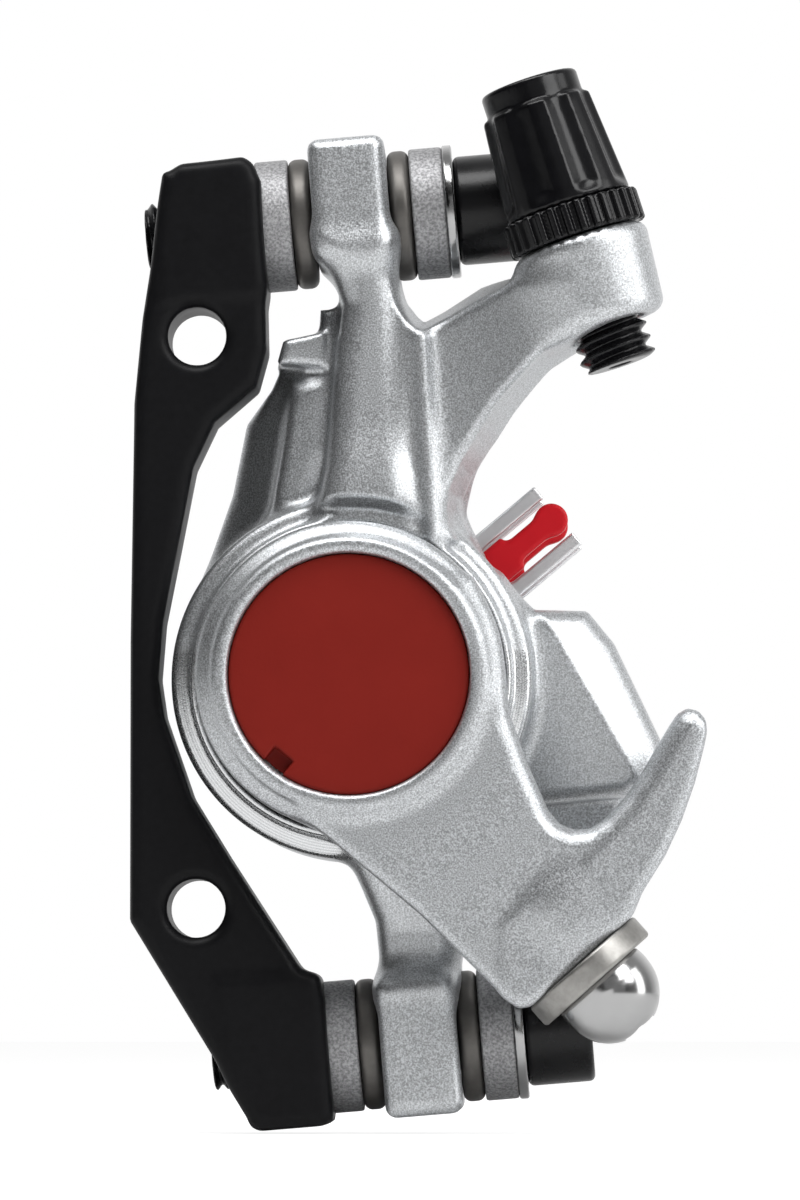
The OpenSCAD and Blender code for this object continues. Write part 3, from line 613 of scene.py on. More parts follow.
def moulded(name, dark, light, rough_low, shine=0.5):
    """Moulded plastic or paint of one hue with a fine grain."""
    f = Finish(name, Specular_IOR_Level=shine)
    grain = f.noise(1700, 2.0, 0.6)
    cloud = f.noise(120, 3.0, 0.6)
    colour = f.tint(cloud, dark, light)
    rough = rough_low + 0.12 * grain
    return f.feed(Base_Color=colour, Roughness=rough, Normal=f.bump(grain, 0.3, 0.06))


def friction_compound(name):
    f = Finish(name, Specular_IOR_Level=0.3)
    chips = f.cells(900)
    flecks = f.ramp(f.noise(1300, 3.0, 0.7), [(0.58, 0.0), (0.66, 1.0)])
    colour = f.tint(flecks, (0.035, 0.03, 0.028), (0.30, 0.24, 0.16))
    rough = 0.7 + 0.2 * chips
    return f.feed(Base_Color=colour, Roughness=rough, Normal=f.bump(chips, 0.4, 0.1))


FINISHES = {
    # The castings' silver carries a painted highlight: a lighter band low on the hub.
    "cast_silver": cast_paint("cast_silver", (0.80, 0.82, 0.84), (0.38, 0.39, 0.40), True),
    # Painted shade: the arm wears the castings' silver paint, set darker.
    "arm_silver": cast_paint("arm_silver", (0.74, 0.76, 0.78), (0.34, 0.35, 0.36)),
    "bracket_black": satin_black("bracket_black"),
    "bolt_black": gloss_black("bolt_black", 0.22),
    "barrel_black": gloss_black("barrel_black"),
    "washer_sand": sand_blasted("washer_sand"),
    "washer_smooth": smooth_steel("washer_smooth", (0.11, 0.105, 0.098), (0.20, 0.19, 0.178), 0.40),
    "clamp_steel": smooth_steel("clamp_steel", (0.17, 0.165, 0.155), (0.50, 0.49, 0.47), 0.34),
    "washer_bright": polished("washer_bright", 0.34, 0.52),
    "dome_chrome": polished("dome_chrome", 0.36, 0.56),
    "ball_steel": polished("ball_steel", 0.66, 0.84),
    "steel_dark": smooth_steel("steel_dark", (0.10, 0.10, 0.105), (0.18, 0.18, 0.19), 0.3),
    "steel_plain": smooth_steel("steel_plain", (0.42, 0.42, 0.43), (0.56, 0.56, 0.57), 0.3),
    "spring_steel": smooth_steel("spring_steel", (0.72, 0.72, 0.73), (0.88, 0.88, 0.89), 0.30),
    "cage_brass": smooth_steel("cage_brass", (0.48, 0.35, 0.15), (0.62, 0.48, 0.24), 0.35),
    "rubber_black": moulded("rubber_black", (0.012, 0.012, 0.012), (0.022, 0.022, 0.022), 0.62),
    "cap_red": moulded("cap_red", (0.17, 0.009, 0.005), (0.21, 0.013, 0.008), 0.45, 0.14),
    "knob_red": moulded("knob_red", (0.34, 0.014, 0.010), (0.42, 0.022, 0.016), 0.34, 0.4),
    "pad_red": moulded("pad_red", (0.52, 0.005, 0.012), (0.62, 0.010, 0.018), 0.34, 0.2),
    "lining": friction_compound("lining"),
}


def on_post(grid, side):
    """Coordinates along a mount bolt: two across, and one away from the bracket."""
    c, s = math.cos(POST_TILT), math.sin(POST_TILT)
    reach = side * POST_PITCH / 2
    at = (POST_MID[0] - reach * s, POST_Y, POST_MID[1] + reach * c)
    return local(grid, at, (c, 0, s))


def post_point(side, along, up):
    """X and Z of a point beside a mount bolt."""
    c, s = math.cos(POST_TILT), math.sin(POST_TILT)
    h = side * POST_PITCH / 2 + up
    return (POST_MID[0] + along * c - h * s, POST_MID[1] + along * s + h * c)


def post_box(side, near, far, low, high):
    """Corners of a box beside a mount bolt, from near to far along it and from low to high across it."""
    return [post_point(side, near, low), post_point(side, far, low),
            post_point(side, far, high), post_point(side, near, high)]


def post_grid(side, s0, s1, r, step):
    """A grid that holds a round piece on a mount bolt."""
    a, b = post_point(side, s0, 0), post_point(side, s1, 0)
    slack = 4 * step
    low = (min(a[0], b[0]) - r * 0.1 - slack, POST_Y - r - slack, min(a[1], b[1]) - r - slack)
    high = (max(a[0], b[0]) + r * 0.1 + slack, POST_Y + r + slack, max(a[1], b[1]) + r + slack)
    return Grid(low, high, step)


def on_stop(grid):
    along = (-math.sin(STOP_TILT), 0, math.cos(STOP_TILT))
    return local(grid, STOP_AT, along)


def on_clamp(grid):
    return local(grid, CLAMP_AT, (math.cos(CLAMP_ANGLE), 0, math.sin(CLAMP_ANGLE)))


def about_hub(grid):
    """Coordinates along the hub axis: two across, and Y along it."""
    return local(grid, (HUB[0], 0, HUB[1]), (0, 1, 0), (0, 0, 1))


def on_hub(grid):
    """Distance from the hub axis."""
    return np.sqrt((grid.x - HUB[0]) ** 2 + (grid.z - HUB[1]) ** 2)


def along_tail(grid):
    """Coordinates in the hub plane along the pad tails and across them."""
    c, s = math.cos(TAIL_ANGLE), math.sin(TAIL_ANGLE)
    dx, dz = grid.x - HUB[0], grid.z - HUB[1]
    return dx * c + dz * s, dz * c - dx * s


# Outlines seen from the front, as X and Z
BRACKET = [
    (-2.9, 40), (3.9, 41.2), (5.4, 39.4), (5.7, 33), (6.1, 28.5), (6.2, 24.3), (5.3, 21), (1.6, 17.8),
    (-0.3, 13.8), (-1.7, 6.6), (-3, 0), (-3.4, -5), (-2.9, -8.4), (-0.4, -15.6), (3, -21.1),
    (10.2, -32.2), (11, -33.6), (11.8, -44.2), (6, -44.7), (4.4, -43.4), (-5.9, -26.6), (-5.9, -1.7),
    (-5.6, 19.6), (-4.9, 27),
]
ARM = [
    (9.4, -17.3), (20.1, -26.2), (27.3, -33.3), (28.7, -34.2), (30.1, -34), (38.3, -26.6),
    (39.4, -24.1), (41.4, -20.9), (42.8, -17.9), (44, -14.5), (44.8, -11.4), (45.05, -10.1),
    (44.95, -9.2), (44.4, -8.5), (43.5, -8.2), (42.7, -8.6), (42.1, -9.5),
    (39.8, -13.6), (38.2, -15.9), (36.4, -17.7), (34.9, -18.6), (33.6, -18.7),
    (32.3, -18.2), (31.3, -17), (29.5, -12.9), (28, -8.8), (27.2, -4.6), (26.6, -1.4), (24.6, 3.4),
    (16, 4),
]
ARM_NOTCH = [
    (24.6, 3.4), (26.6, -1.4), (27.2, -4.6), (28, -8.8), (29.5, -12.9), (31.3, -17), (32.3, -18.2),
    (33.6, -18.7), (34.9, -18.6), (36.4, -17.7), (38.2, -15.9), (39.8, -13.6), (42.2, -9.2),
]
ARM_TAIL = [(27, -36), (50, -36), (50, 0), (40, -12), (34, -22), (29.5, -24.5), (27, -27)]
WING = [
    (15, 28.4), (10.9, 28.2), (10.7, 25.7), (8.3, 25.2), (6.4, 21.2), (4.1, 18.2), (2.8, 11.9),
    (0.1, 4.6), (-2, -1), (14, -6), (24, 8),
]
LEG = [
    (12, -18), (14.6, -23.5), (15.9, -26.6), (16.6, -33.4), (22.6, -33.4), (23.2, -31), (24.4, -27),
    (25.6, -20), (24, -10),
]
SPINE = [
    (10.9, 34.5), (13, 28.2), (12.4, 24), (11.6, 14), (10.4, 8), (20.6, 6), (20.1, 9), (19.1, 15),
    (18.7, 21.6), (18.3, 28), (17.6, 34.5),
]
RIDGE = [
    (24, 3.6), (27, 4.2), (28.4, 2.6), (30.1, 1.2), (34.8, 1.2), (37.2, -1.7), (41.4, -10.5),
    (41.8, -13.4), (38.4, -15.4), (30, -16.2), (22, -20), (20, -10),
]
LENS = [(8.3, 21.4), (11.6, 21.9), (11.3, 15.5), (10, 11.4), (8.3, 8.4), (6.1, 8.2), (7.2, 14.6)]
WING_STEP = [(7.6, 25.4), (11.4, 26.2), (11.6, 22.9), (7.0, 23.2)]
STOP_ARM = [
    (17, 31), (18.3, 28.7), (20.2, 27.2), (21.9, 28.1), (25.3, 30.3), (28, 31.3), (34, 31), (37, 27),
    (34.4, 23.7), (31.9, 22.1), (30.6, 20.8), (28.4, 18.6), (26.1, 15.8), (24.5, 13.4), (23.6, 11.3),
    (23.5, 9.8), (23.7, 8.6), (24.6, 6.6), (18, 4), (16.5, 14),
]
FOOT = [(27, -11), (38.2, -11), (38, -16), (36.4, -18.8), (27, -18.8)]
BRIDGE = [(9.4, 25), (18.6, 28), (24.8, 16.4), (23.4, 10), (25.2, 6.4), (12, 4), (5, 14)]


def make_bracket():
    """The bracket: a plate with a tapped post at each end and two countersunk frame holes."""
    grid = Grid((-8, -1.5, -47), (14, 15.5, 43.5), 0.3)
    flat = outline(grid.x, grid.z, BRACKET)
    for side in (-1, 1):
        top = UPPER_POST_TOP if side > 0 else POST_H / 2 - POST_CORNER
        core = post_box(side, -6, -POST_CORNER, POST_CORNER - POST_H / 2, top)
        flat = join(flat, outline(grid.x, grid.z, core) - POST_CORNER, 0.6)
    body = thick(flat, grid.y, 0, BRACKET_T, 1.0)
    for side in (-1, 1):
        zone = post_box(side, -9, 3, -POST_H / 2, POST_H / 2)
        post = thick(common(flat, outline(grid.x, grid.z, zone), 0.8), grid.y, 0, POST_DEPTH, 0.7)
        body = join(body, post, 1.0)
        hole = disc(grid.x, grid.z, (0, side * FRAME_PITCH / 2), FRAME_HOLE_R)
        mouth = hole + (grid.y - 0.55)
        body = cut(body, np.minimum(hole, mouth * 0.7), 0.15)
        u, v, w = on_post(grid, side)
        body = cut(body, rod(u, v, w, BOLT_R + 0.05, -14, 2))
    piece("bracket", grid, body, "mounting_bracket", "root", "bracket_black")


def make_mount_bolt(side, name, node):
    """A cap-head bolt, threaded where it stands in its post."""
    grid = post_grid(side, -BOLT_REACH, HEAD_S + HEAD_H, HEAD_R, 0.14)
    u, v, w = on_post(grid, side)
    shank = common(thread(u, v, w, BOLT_R, BOLT_PITCH, 0.5), between(w, -BOLT_REACH, 0.5), 0.3)
    shank = join(shank, rod(u, v, w, BOLT_R - 0.05, 0, HEAD_S + 1))
    head = rod(u, v, w, HEAD_R, HEAD_S, HEAD_S + HEAD_H, 0.55)
    body = join(shank, head, 0.2)
    socket = prism(u, v, w, HEAD_SOCKET, 6, HEAD_S + HEAD_H - HEAD_SOCKET_L, HEAD_S + HEAD_H + 1)
    body = cut(body, socket, 0.25)
    piece(name, grid, body, node, "root", "bolt_black")


def make_cup(side, name, node, s, flip):
    """A washer with a hollow seat, turned round where flip says so."""
    grid = post_grid(side, s, s + CUP_T, WASHER_R, 0.16)
    u, v, w = on_post(grid, side)
    w = (s + CUP_T - w) if flip else (w - s)
    body = rod(u, v, w, WASHER_R, 0, CUP_T, 0.22)
    dish = np.sqrt(u * u + v * v + (w - CUP_T + SEAT_DROP - SEAT_R) ** 2) - SEAT_R - 0.05
    body = cut(body, dish, 0.2)
    body = cut(body, rod(u, v, w, CUP_HOLE_R, -1, CUP_T + 1), 0.2)
    piece(name, grid, body, node, "root", "washer_sand")


def make_ball_washer(side, name, node, s, flip):
    """A washer with a domed seat, turned round where flip says so."""
    low, high = (s - SEAT_DROP, s + BALL_T) if flip else (s, s + BALL_T + SEAT_DROP)
    grid = post_grid(side, low, high, WASHER_R, 0.16)
    u, v, w = on_post(grid, side)
    w = (s + BALL_T - w) if flip else (w - s)
    body = rod(u, v, w, WASHER_R - 0.05, 0, BALL_T, 0.75)
    dome = np.sqrt(u * u + v * v + (w - BALL_T - SEAT_DROP + SEAT_R) ** 2) - SEAT_R
    dome = common(dome, rod(u, v, w, SEAT_EDGE_R, BALL_T / 2, BALL_T + SEAT_DROP + 1), 0.2)
    body = join(body, dome)
    body = cut(body, rod(u, v, w, BALL_HOLE_R, -1, 8), 0.2)
    piece(name, grid, body, node, "root", "washer_smooth")


def make_thin_washer(side, name, node):
    grid = post_grid(side, THIN_S, HEAD_S, WASHER_R + 0.1, 0.13)
    u, v, w = on_post(grid, side)
    body = rod(u, v, w, WASHER_R + 0.1, THIN_S, HEAD_S, 0.2)
    body = cut(body, rod(u, v, w, THIN_HOLE_R, THIN_S - 1, HEAD_S + 1), 0.1)
    piece(name, grid, body, node, "root", "washer_bright")


def over_rim(grid):
    """Outline of the bridge beyond the rotor's rim."""
    flat = np.minimum(outline(grid.x, grid.z, RIDGE), outline(grid.x, grid.z, BRIDGE))
    return np.maximum(flat, -disc(grid.x, grid.z, ROTOR_AT, RIM_R))


def pad_room(grid, y0, y1):
    """The pocket and window that the pads sit in."""
    t, across = along_tail(grid)
    window = np.maximum(np.abs(across) - WINDOW_HALF, 8 - t)
    return thick(np.minimum(on_hub(grid) - PAD_R - 0.4, window), grid.y, y0, y1)


def ears_of(grid):
    """The two ears that the washers clamp."""
    ears = []
    for side, low, high, front in EARS:
        near, far = EAR_S + EAR_CORNER, EAR_S + EAR_T - EAR_CORNER
        core = post_box(side, near, far, low + EAR_CORNER, high - EAR_CORNER)
        flat = outline(grid.x, grid.z, core) - EAR_CORNER
        ears.append(thick(flat, grid.y, front, EAR_BACK, 1.3))
    return np.minimum(*ears)


def wing_of(grid):
    """The left wing: its face falls away from the spine, with a lens-shaped rib standing on it."""
    x, y, z = grid.x, grid.y, grid.z
    face = WING_FRONT + WING_SLOPE * np.clip(12.5 - x, 0, 3) + WING_FALL * np.clip(9.5 - x, 0, 12)
    wing = thick(outline(x, z, WING), y, face, GAP_FRONT, 0.8) * SLOPED
    lens_face = LENS_FRONT + 0.14 * np.clip(11 - x, 0, 6)
    lens = thick(outline(x, z, LENS), y, lens_face, GAP_FRONT - 1, 1.2)
    step = thick(outline(x, z, WING_STEP), y, WING_STEP_FRONT, GAP_FRONT - 1, 0.6)
    return join(join(wing, lens, 1.2), step, 0.7)


def stop_arm_of(grid):
    """The arm that rises from the spine to the cable stop, drawn in along its inner curve."""
    x, y, z = grid.x, grid.y, grid.z
    rise = ease(x + 0.12 * (z - 20), 21.8, 33.5)
    crest = 0.9 * np.exp(-((x + 0.06 * (z - 10) - 20.9) / 0.9) ** 2)
    front = STOP_ARM_FRONT - STOP_ARM_FORWARD * rise - crest
    back = STOP_ARM_BACK - STOP_ARM_THINNER * ease(x, 20, 32)
    draft = 0.18 * np.clip(6 - y, 0, 9)
    return thick(outline(x, z, STOP_ARM) + draft, y, front, back, 0.75) * STEEP


def bridge_of(grid):
    """The part that reaches over the rotor's rim, with a crease across its face and a foot set back."""
    x, y, z = grid.x, grid.y, grid.z
    crease = (x - CREASE_AT[0]) * CREASE_ACROSS[0] + (z - CREASE_AT[1]) * CREASE_ACROSS[1]
    face = RIDGE_FRONT + 0.5 * np.clip(crease, 0, 9) + 0.16 * np.clip(-crease, 0, 9)
    ridge = thick(outline(x, z, RIDGE), y, face, GAP_FRONT, 1.5) * SLOPED
    foot = thick(outline(x, z, FOOT) - 0.3, y, FOOT_FRONT, GAP_FRONT, 1.0)
    return np.minimum(join(ridge, foot, 0.6), thick(over_rim(grid), y, 8.5, ROTOR_Y, 0.3))


def stop_boss_of(grid):
    u, v, w = on_stop(grid)
    return cone(u, v, w, BOSS_R - 0.7, BOSS_R, -BOSS_L, 0, 1.1)


def outer_holes(grid, body):
    """Takes the bores, seats and pockets out of the outer casting."""
    x, y, z = grid.x, grid.y, grid.z
    hub = on_hub(grid)
    for side in (-1, 1):
        a, b, s = on_post(grid, side)
        half = BOLT_R + 0.4
        slot = np.sqrt(a * a + np.maximum(np.abs(b) - SLOT_HALF + half, 0) ** 2) - half
        room = rod(a, b, s, WASHER_R + 0.3, EAR_S - 9, EAR_S)
        room = np.minimum(room, rod(a, b, s, WASHER_R + 0.3, EAR_S + EAR_T, HEAD_S))
        room = np.minimum(room, rod(a, b, s, HEAD_R + 0.3, HEAD_S - 0.1, HEAD_S + HEAD_H + 1))
        body = cut(body, thick(slot, s, EAR_S - 1, EAR_S + EAR_T + 1), 0.3)
        body = cut(body, room, 0.3)
    body = cut(body, thick(hub - SCREW_BORE_R, y, -9, 2))
    body = cut(body, thick(hub - CAM_BORE_R, y, 1.5, 13))
    body = cut(body, pad_room(grid, 11.7, 19), 0.3)
    body = cut(body, thick(np.abs(hub - SEAL_R) - SEAL_HALF, y, -3, -0.4))
    u, v, w = on_stop(grid)
    body = cut(body, rod(u, v, w, STEM_R + 0.1, -14, 3), 0.25)
    body = cut(body, rod(u, v, w, RING_R + 0.3, 0, RING_T + 1), 0.15)
    for at in (UPPER_BOLT, LOWER_BOLT):
        body = cut(body, thick(disc(x, z, at, BODY_BOLT_BORE_R), y, 9, 18))
    return body


def make_outer_body():
    """The outer casting: shell, collar, leg, spine, ears, wing, cable stop and bridge, with fillets."""
    grid = Grid((-3.5, -11, -46.5), (43.5, 18, 44.5), 0.3)
    x, y, z = grid.x, grid.y, grid.z
    hub = on_hub(grid)
    body = thick(hub - SHELL_R, y, SHELL_FRONT, GAP_FRONT, 1.0)
    collar = thick(hub - COLLAR_R, y, COLLAR_FRONT, GAP_FRONT, 0.5)
    leg_front = COLLAR_FRONT + LEG_SLOPE * np.clip(-19.5 - z, 0, 8)
    leg = thick(outline(x, z, LEG), y, leg_front, LEG_BACK, 2.6)
    spine_front = SPINE_FRONT - SPINE_STEP * ease(hub, 14.9, 16.4) + SPINE_STEP * ease(z, 10.5, 19.5)
    spine = thick(outline(x, z, SPINE), y, spine_front, SPINE_BACK, 2.4)
    trunk = join(join(spine, leg), ears_of(grid), 2.6)
    forms = (
        (wing_of(grid), 1.6), (stop_arm_of(grid), 1.0), (stop_boss_of(grid), 2.6), (bridge_of(grid), 1.6),
        (trunk, 1.5), (collar, 0.9),
    )
    for form, fillet in forms:
        body = join(body, form, fillet)
    body = outer_holes(grid, body)
    piece("outer_casting", grid, body, "outer_body", "root", "cast_silver")


def make_inner_body():
    """The half of the body that lies behind the rotor."""
    grid = Grid((-3, 16, -22), (43.5, 29.5, 29), 0.34)
    x, y, z = grid.x, grid.y, grid.z
    hub = on_hub(grid)
    shell = hub - SHELL_R + 0.7
    bridge = over_rim(grid)
    body = thick(join(shell, bridge, 3), y, GAP_BACK, BODY_BACK - 1.6, 1.2)
    body = join(body, thick(shell, y, GAP_BACK, BODY_BACK, 1.6), 0.5)
    body = join(body, thick(bridge, y, ROTOR_Y, GAP_BACK + 2, 0.2))
    body = cut(body, pad_room(grid, 15, 22.4), 0.3)
    body = cut(body, thick(hub - INNER_BORE_R, y, 19, 30), 0.2)
    body = cut(body, np.sqrt((hub - CLICK_R) ** 2 + (y - BODY_BACK - 0.1) ** 2) - 0.5)
    for at in (UPPER_BOLT, LOWER_BOLT):
        body = cut(body, thick(disc(x, z, at, BODY_BOLT_BORE_R), y, 15, 30))
        body = cut(body, thick(disc(x, z, at, BODY_BOLT_SEAT_R), y, BODY_BACK - 3, 31), 0.2)
    piece("inner_casting", grid, body, "inner_body", "root", "cast_silver")


def make_arm():
    """The arm: its hub with a lip around the cap, its notch and hook, and the swell under the clamp."""
    grid = Grid((-1, -10.2, -36), (46.5, 2, 10), 0.25)
    x, y, z = grid.x, grid.y, grid.z
    hub = on_hub(grid)
    rim = thick(hub - ARM_HUB_R, y, ARM_FRONT + 0.55, ARM_BACK, 1.1)
    flat = outline(x, z, ARM)
    edge = ARM_EDGE + NOTCH_EDGE * ease(-line_gap(x, z, ARM_NOTCH), -3.2, -1.2)
    front = ARM_FRONT + 0.3 * ease(hub, 12, 30)
    body = thick(flat, y, front, ARM_BACK, edge)
    tail = common(flat, outline(x, z, ARM_TAIL), 1.0)
    body = join(body, thick(tail, y, front, ARM_TAIL_BACK, edge), 0.8)
    u, v, w = on_clamp(grid)
    swell = np.sqrt((u + 1.9) ** 2 + (v - 0.4) ** 2) - SWELL_R
    swell = common(swell, between(w, -7.5, -0.2), 3.5)
    body = join(body, common(swell, flat + 0.8, 1.2), 1.7)
    body = join(body, rim, 1.0)
    lip = thick(np.abs(hub - CAP_R - 0.75) - 0.8, y, ARM_FRONT - LIP_H, ARM_FRONT + 1.5, 0.7)
    body = join(body, lip, 1.2)
    body = common(body, y - np.where(hub < ARM_TAIL_FROM, ARM_BACK, ARM_TAIL_BACK))
    body = cut(body, thick(hub - CAP_R - 0.05, y, -12, CAP_BACK + 0.05), 0.15)
    body = cut(body, thick(hub - 4.7, y, -12, -5.3))
    body = cut(body, rod(u, v, w, CLAMP_BOLT_R + 0.05, -9, 3))
    body = cut(body, rod(u, v, w, CLAMP_R + 1, 0, 9), 0.2)
    body = cut(body, prism(*about_hub(grid), 7.3, 6, -8, 0))
    body = cut(body, thick(np.abs(hub - 9.1) - 2.7, y, -5.4, 1))
    # The arm's silver is the castings' paint set darker, as painted shade.
    piece("swing_arm", grid, body, "actuating_arm", "arm", "arm_silver")


def make_cap():
    grid = Grid((2.6, -8.8, -16.3), (25, -6.4, 6.1), 0.14)
    body = thick(on_hub(grid) - CAP_R + 0.02, grid.y, ARM_FRONT, CAP_BACK, 0.25)
    c, s = math.cos(CAP_NOTCH_AT), math.sin(CAP_NOTCH_AT)
    dx, dz = grid.x - HUB[0], grid.z - HUB[1]
    out = dx * c + dz * s
    across = dz * c - dx * s
    notch = np.maximum(np.abs(across) - CAP_NOTCH_HALF, CAP_R - CAP_NOTCH_L - out)
    body = cut(body, np.maximum(notch, grid.y - CAP_BACK + 0.12), 0.12)
    piece("hub_cap", grid, body, "arm_cap", "arm", "cap_red")


def make_barrel():
    """The fluted barrel and its threaded stem, bored for the cable."""
    grid = Grid((23.5, -10, 20.5), (41.5, 3, 51), 0.15)
    u, v, w = on_stop(grid)
    top = RING_T + BARREL_L
    wave = np.cos(FLUTES * (np.arctan2(v, u) + FLUTE_AT))
    flute = np.clip((wave + 0.35) / 1.35, 0, 1) * ease(w, RING_T + 0.2, RING_T + 1.6)
    slope = (BARREL_TOP_R + 0.5 - BARREL_R) / BARREL_L
    radius = BARREL_R + slope * (w - RING_T) - FLUTE_DEPTH * flute
    body = thick(np.sqrt(u * u + v * v) - radius, w, RING_T, top, 0.35) * FLUTED
    body = join(body, rod(u, v, w, BARREL_TOP_R, top - 1, top + BARREL_TOP_H, 0.4), 0.3)
    turns = thread(u, v, w, STEM_R, STEM_PITCH, 0.7)
    body = np.minimum(body, common(turns, between(w, -BOSS_L - STEM_OUT, RING_T + 1), 0.3))
    body = cut(body, rod(u, v, w, BARREL_BORE_R, top + BARREL_TOP_H - 9, 30), 0.25)
    body = cut(body, rod(u, v, w, CABLE_BORE_R, -20, 20), 0.2)
    piece("barrel", grid, body, "adjuster_barrel", "barrel", "barrel_black")


def make_ring():
    grid = Grid((26, -10.5, 30.5), (41.5, 3.5, 40.5), 0.12)
    u, v, w = on_stop(grid)
    rib = np.clip(0.5 + 1.2 * np.cos(np.arctan2(v, u) * RING_RIBS), 0, 1)
    flat = np.sqrt(u * u + v * v) - RING_R + RIB_DEPTH * (1 - rib)
    body = thick(flat, w, 0.05, RING_T - 0.05, 0.25) * RIBBED
    body = cut(body, rod(u, v, w, STEM_R + 0.05, -1, 5))
    piece("knurled_ring", grid, body, "lock_ring", "ring", "barrel_black")


def make_clamp():
    grid = Grid((28.5, -10.2, -37.3), (41.5, 3.2, -25), 0.14)
    u, v, w = on_clamp(grid)
    body = rod(u, v, w, CLAMP_R, 0, CLAMP_T, 0.3)
    body = cut(body, rod(u, v, w, CLAMP_BOLT_R + 0.15, -1, 4))
    piece("clamp_disc", grid, body, "clamp_washer", "arm", "washer_smooth", "clamp_steel")


def make_clamp_bolt():
    grid = Grid((26.5, -8.8, -41), (44, 1.8, -22), 0.13)
    u, v, w = on_clamp(grid)
    w = w - CLAMP_T
    ball = np.sqrt(u * u + v * v + (w - DOME_H + DOME_R) ** 2) - DOME_R
    collar = rod(u, v, w, DOME_R - 0.15, 0, DOME_H - DOME_R, 0.3)
    head = common(join(ball, collar, 0.4), -w)
    shank = rod(u, v, w, CLAMP_BOLT_R, -CLAMP_T - 8.5, 1, 0.3)
    body = join(head, shank, 0.2)
    body = cut(body, prism(u, v, w, DOME_SOCKET, 6, DOME_H - 2.4, 9), 0.3)
    piece("domed_bolt", grid, body, "clamp_bolt", "arm", "dome_chrome")


def pad_shape(grid):
    """Outline of a pad plate with its tail."""
    t, across = along_tail(grid)
    plate = on_hub(grid) - PAD_R
    tail = np.maximum(np.abs(across) - TAIL_HALF, np.maximum(t - TAIL_REACH + 4.6, 6 - t))
    neck = np.maximum(np.abs(across) - TAIL_END_R + 0.45, np.maximum(t - TAIL_REACH, TAIL_REACH - 6 - t))
    end = np.sqrt((t - TAIL_REACH) ** 2 + across ** 2) - TAIL_END_R
    return join(plate, join(tail, join(neck, end, 0.5), 0.9), 0.8)


def make_pad(name, node, body, y0):
    grid = Grid((2.6, y0 - 0.6, -16.3), (33.8, y0 + 2.1, 12.6), 0.15)
    field = thick(pad_shape(grid), grid.y, y0, y0 + PAD_T, 0.3)
    piece(name, grid, field, node, body, "pad_red")


def make_pad_spring():
    """Two forked leaves that meet halfway, each by the pad that it presses on."""
    grid = Grid((22, 12.4, 0), (36.5, 21.7, 14.5), 0.11)
    t, across = along_tail(grid)
    fork = np.maximum(np.abs(across) - SPRING_HALF, np.maximum(t - 24, 13.6 - t))
    gap = np.sqrt(np.maximum(17.4 - t, 0) ** 2 + across ** 2) - 2.0
    leaf = np.maximum(fork, -gap)
    strip = np.maximum(np.abs(across) - SPRING_HALF, np.abs(t - 13.8) - SPRING_T / 2)
    strip = thick(strip, grid.y, 13.3, 20.8, 0.1)
    sides = (
        ("outer_leaf", "outer_pad", 12.6, SPRING_MIDDLE, 13.3, 13.8),
        ("inner_leaf", "inner_pad", SPRING_MIDDLE, 21.5, 20.4, 20.3),
    )
    for name, body, low, high, leaf_y, bend_end in sides:
        field = join(thick(leaf, grid.y, leaf_y, leaf_y + SPRING_T, 0.12), strip, 0.2)
        field = np.maximum(field, between(grid.y, low, high))
        obj = piece(name, grid, field, "pad_spring", None, "spring_steel")
        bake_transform(obj)


def make_knob():
    """The rear knob with its finger grips, dished back and six-sided stem."""
    grid = Grid((2.4, 22.5, -16.5), (25.2, 33.7, 6.3), 0.17)
    turn = np.arctan2(grid.z - HUB[1], grid.x - HUB[0])
    hub = on_hub(grid)
    spacing = 2 * math.pi / KNOB_GRIPS
    near = (turn + spacing / 2) % spacing - spacing / 2
    body = thick(hub - KNOB_R, grid.y, KNOB_FRONT, KNOB_BACK, 0.7)
    grip = np.sqrt((hub * np.cos(near) - KNOB_GRIP_AT) ** 2 + (hub * np.sin(near)) ** 2) - KNOB_GRIP_R
    body = cut(body, grip, 0.5)
    body = cut(body, thick(hub - KNOB_DISH_R, grid.y, 31.9, 35), 0.5)
    body = np.minimum(body, prism(*about_hub(grid), 5.1, 6, 23.8, 29))
    piece("rear_knob", grid, body, "adjuster_knob", "knob", "knob_red")


def make_stacks():
    """Both mount bolts, and the five washers on each of them."""
    for side, word in ((1, "upper"), (-1, "lower")):
        make_mount_bolt(side, f"{word}_cap_bolt", f"{word}_mount_bolt")
        make_cup(side, f"{word}_cup_in", f"{word}_inner_cup", 0, False)
        make_ball_washer(side, f"{word}_ball_in", f"{word}_inner_ball", CUP_T, True)
        make_ball_washer(side, f"{word}_ball_out", f"{word}_outer_ball", OUTER_BALL_S, False)
        make_cup(side, f"{word}_cup_out", f"{word}_outer_cup", OUTER_CUP_S, True)
        make_thin_washer(side, f"{word}_bright_washer", f"{word}_thin_washer")


def finish_nodes():
    """Gives each frame node that stays its finish and a small broken edge."""
    slots = {row["node"]: row["material_slot"] for row in frame["record"]["subparts"]}
    for name, obj in frame["nodes"].items():
        if name in REPLACED:
            continue
        obj.data.materials.clear()
        obj.data.materials.append(FINISHES[slots[name]])
        bevel = obj.modifiers.new("broken_edge", "BEVEL")
        bevel.width = 0.12 * MM
        bevel.segments = 2
        bevel.limit_method = "ANGLE"
        bevel.angle_limit = math.radians(40)


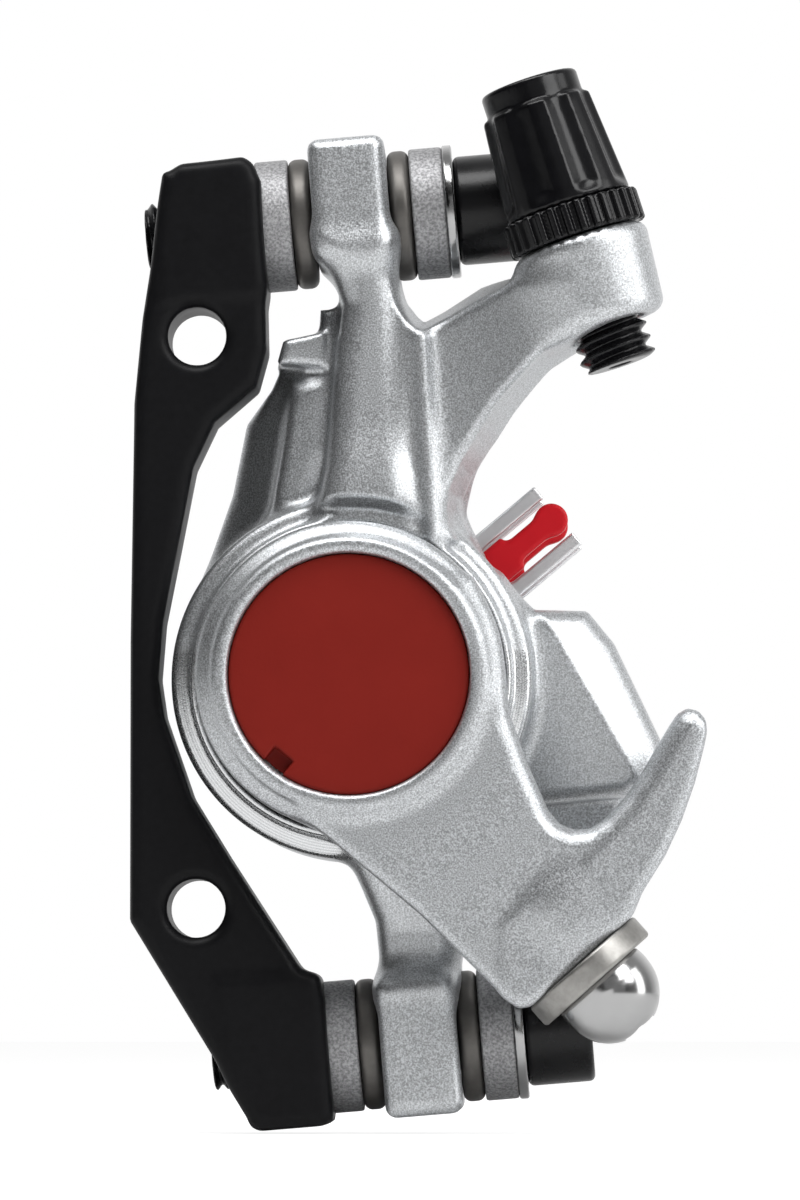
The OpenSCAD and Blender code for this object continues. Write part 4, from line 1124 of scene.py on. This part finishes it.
def make_stage():
    """A pale floor that reads as the white background, but keeps the brake's shadow.

    It glows only for rays that show it directly, and for mirrored ones only well behind the brake.
    """
    size, level = 3.0, cad_box[0][2] - 0.6 * MM
    mesh = bpy.data.meshes.new("floor")
    corners = [(-size, -size, level), (size, -size, level), (size, size, level), (-size, size, level)]
    mesh.from_pydata(corners, [], [(0, 1, 2, 3)])
    floor = bpy.data.objects.new("floor", mesh)
    bpy.context.scene.collection.objects.link(floor)
    f = Finish("pale_floor", Base_Color=(0.86, 0.86, 0.86, 1), Roughness=0.9, Specular_IOR_Level=0.1)
    glow = f.add("ShaderNodeEmission", {}, {"Color": (1, 1, 1, 1), "Strength": 1.7})
    behind = (2 * f.part(f.where, "Y") - 0.3).limit()
    mix = f.add("ShaderNodeMixShader", {}, {0: f.seen_rays(behind) * 0.5, 1: f.shaded(), 2: glow})
    f.surface(mix, "Material Output")
    floor.data.materials.append(f.material)


LAMP_TARGET = (0.018, 0.0, 0.0)
# Name, place, size and power of each lamp
LAMPS = (
    ("key", (0.42, -0.38, 0.36), (0.34, 0.34), 2.0),
    ("top", (0.00, -0.25, 0.58), (0.42, 0.28), 2.7),
    ("left", (-0.26, -0.08, 0.52), (0.24, 0.24), 0.6),
    ("front", (0.20, -0.60, 0.14), (0.50, 0.30), 0.12),
    ("side", (0.55, -0.10, 0.08), (0.20, 0.50), 0.9),
)


def area_lamp(name, at, size, power):
    """A rectangular lamp that faces the brake."""
    lamp = bpy.data.lights.new(name, "AREA")
    lamp.shape = "RECTANGLE"
    lamp.size, lamp.size_y = size
    lamp.energy = power
    obj = bpy.data.objects.new(name, lamp)
    bpy.context.scene.collection.objects.link(obj)
    obj.location = at
    obj.rotation_euler = (Vector(LAMP_TARGET) - Vector(at)).to_track_quat("-Z", "Y").to_euler()


def make_world():
    """A white wall behind the brake, and a dimmer room in front that lights it."""
    world = bpy.data.worlds.new("studio")
    bpy.context.scene.world = world
    world.use_nodes = True
    f = Nodes(world.node_tree)
    facing = f.add("ShaderNodeTexCoord", {}, {}, "Generated")
    right, inward, high = (f.part(facing, axis) for axis in "XYZ")
    level = (WORLD_BASE + WORLD_BACK * inward + WORLD_RIGHT * right + WORLD_TOP * high).limit()
    room = f.add("ShaderNodeBackground", {}, {"Color": (1, 1, 1, 1), "Strength": level})
    white = f.add("ShaderNodeBackground", {}, {"Color": (1, 1, 1, 1), "Strength": 1.0})
    wall = (2.2 * inward - 0.7).limit()
    pick = f.add("ShaderNodeMixShader", {}, {0: f.seen_rays(wall), 1: room, 2: white})
    f.surface(pick, "World Output")


def make_lights():
    make_world()
    for lamp in LAMPS:
        area_lamp(*lamp)


def make_camera():
    distance, half_height = 0.65, 0.05333
    target = Vector((0.01813, 0.0, 0.00187))
    azimuth, elevation = math.radians(1.27), math.radians(-3.3)
    away = Vector((math.sin(azimuth) * math.cos(elevation), -math.cos(azimuth) * math.cos(elevation),
                   math.sin(elevation)))
    camera = bpy.data.cameras.new("camera")
    camera.sensor_fit = "AUTO"
    camera.sensor_width = 36
    camera.lens = camera.sensor_width / 2 * distance / half_height
    camera.clip_end = 10
    obj = bpy.data.objects.new("camera", camera)
    bpy.context.scene.collection.objects.link(obj)
    obj.location = target + away * distance
    obj.rotation_euler = (-away).to_track_quat("-Z", "Y").to_euler()
    bpy.context.scene.camera = obj


bpy.context.scene.view_settings.view_transform = "Standard"
make_camera()
make_bracket()
make_stacks()
make_outer_body()
make_inner_body()
make_arm()
make_cap()
make_barrel()
make_ring()
make_clamp()
make_clamp_bolt()
make_pad("outer_pad", "outer_pad_plate", "outer_pad", OUTER_PAD_Y)
make_pad("inner_pad", "inner_pad_plate", "inner_pad", INNER_PAD_Y)
make_pad_spring()
make_knob()
finish_nodes()
make_lights()
make_stage()
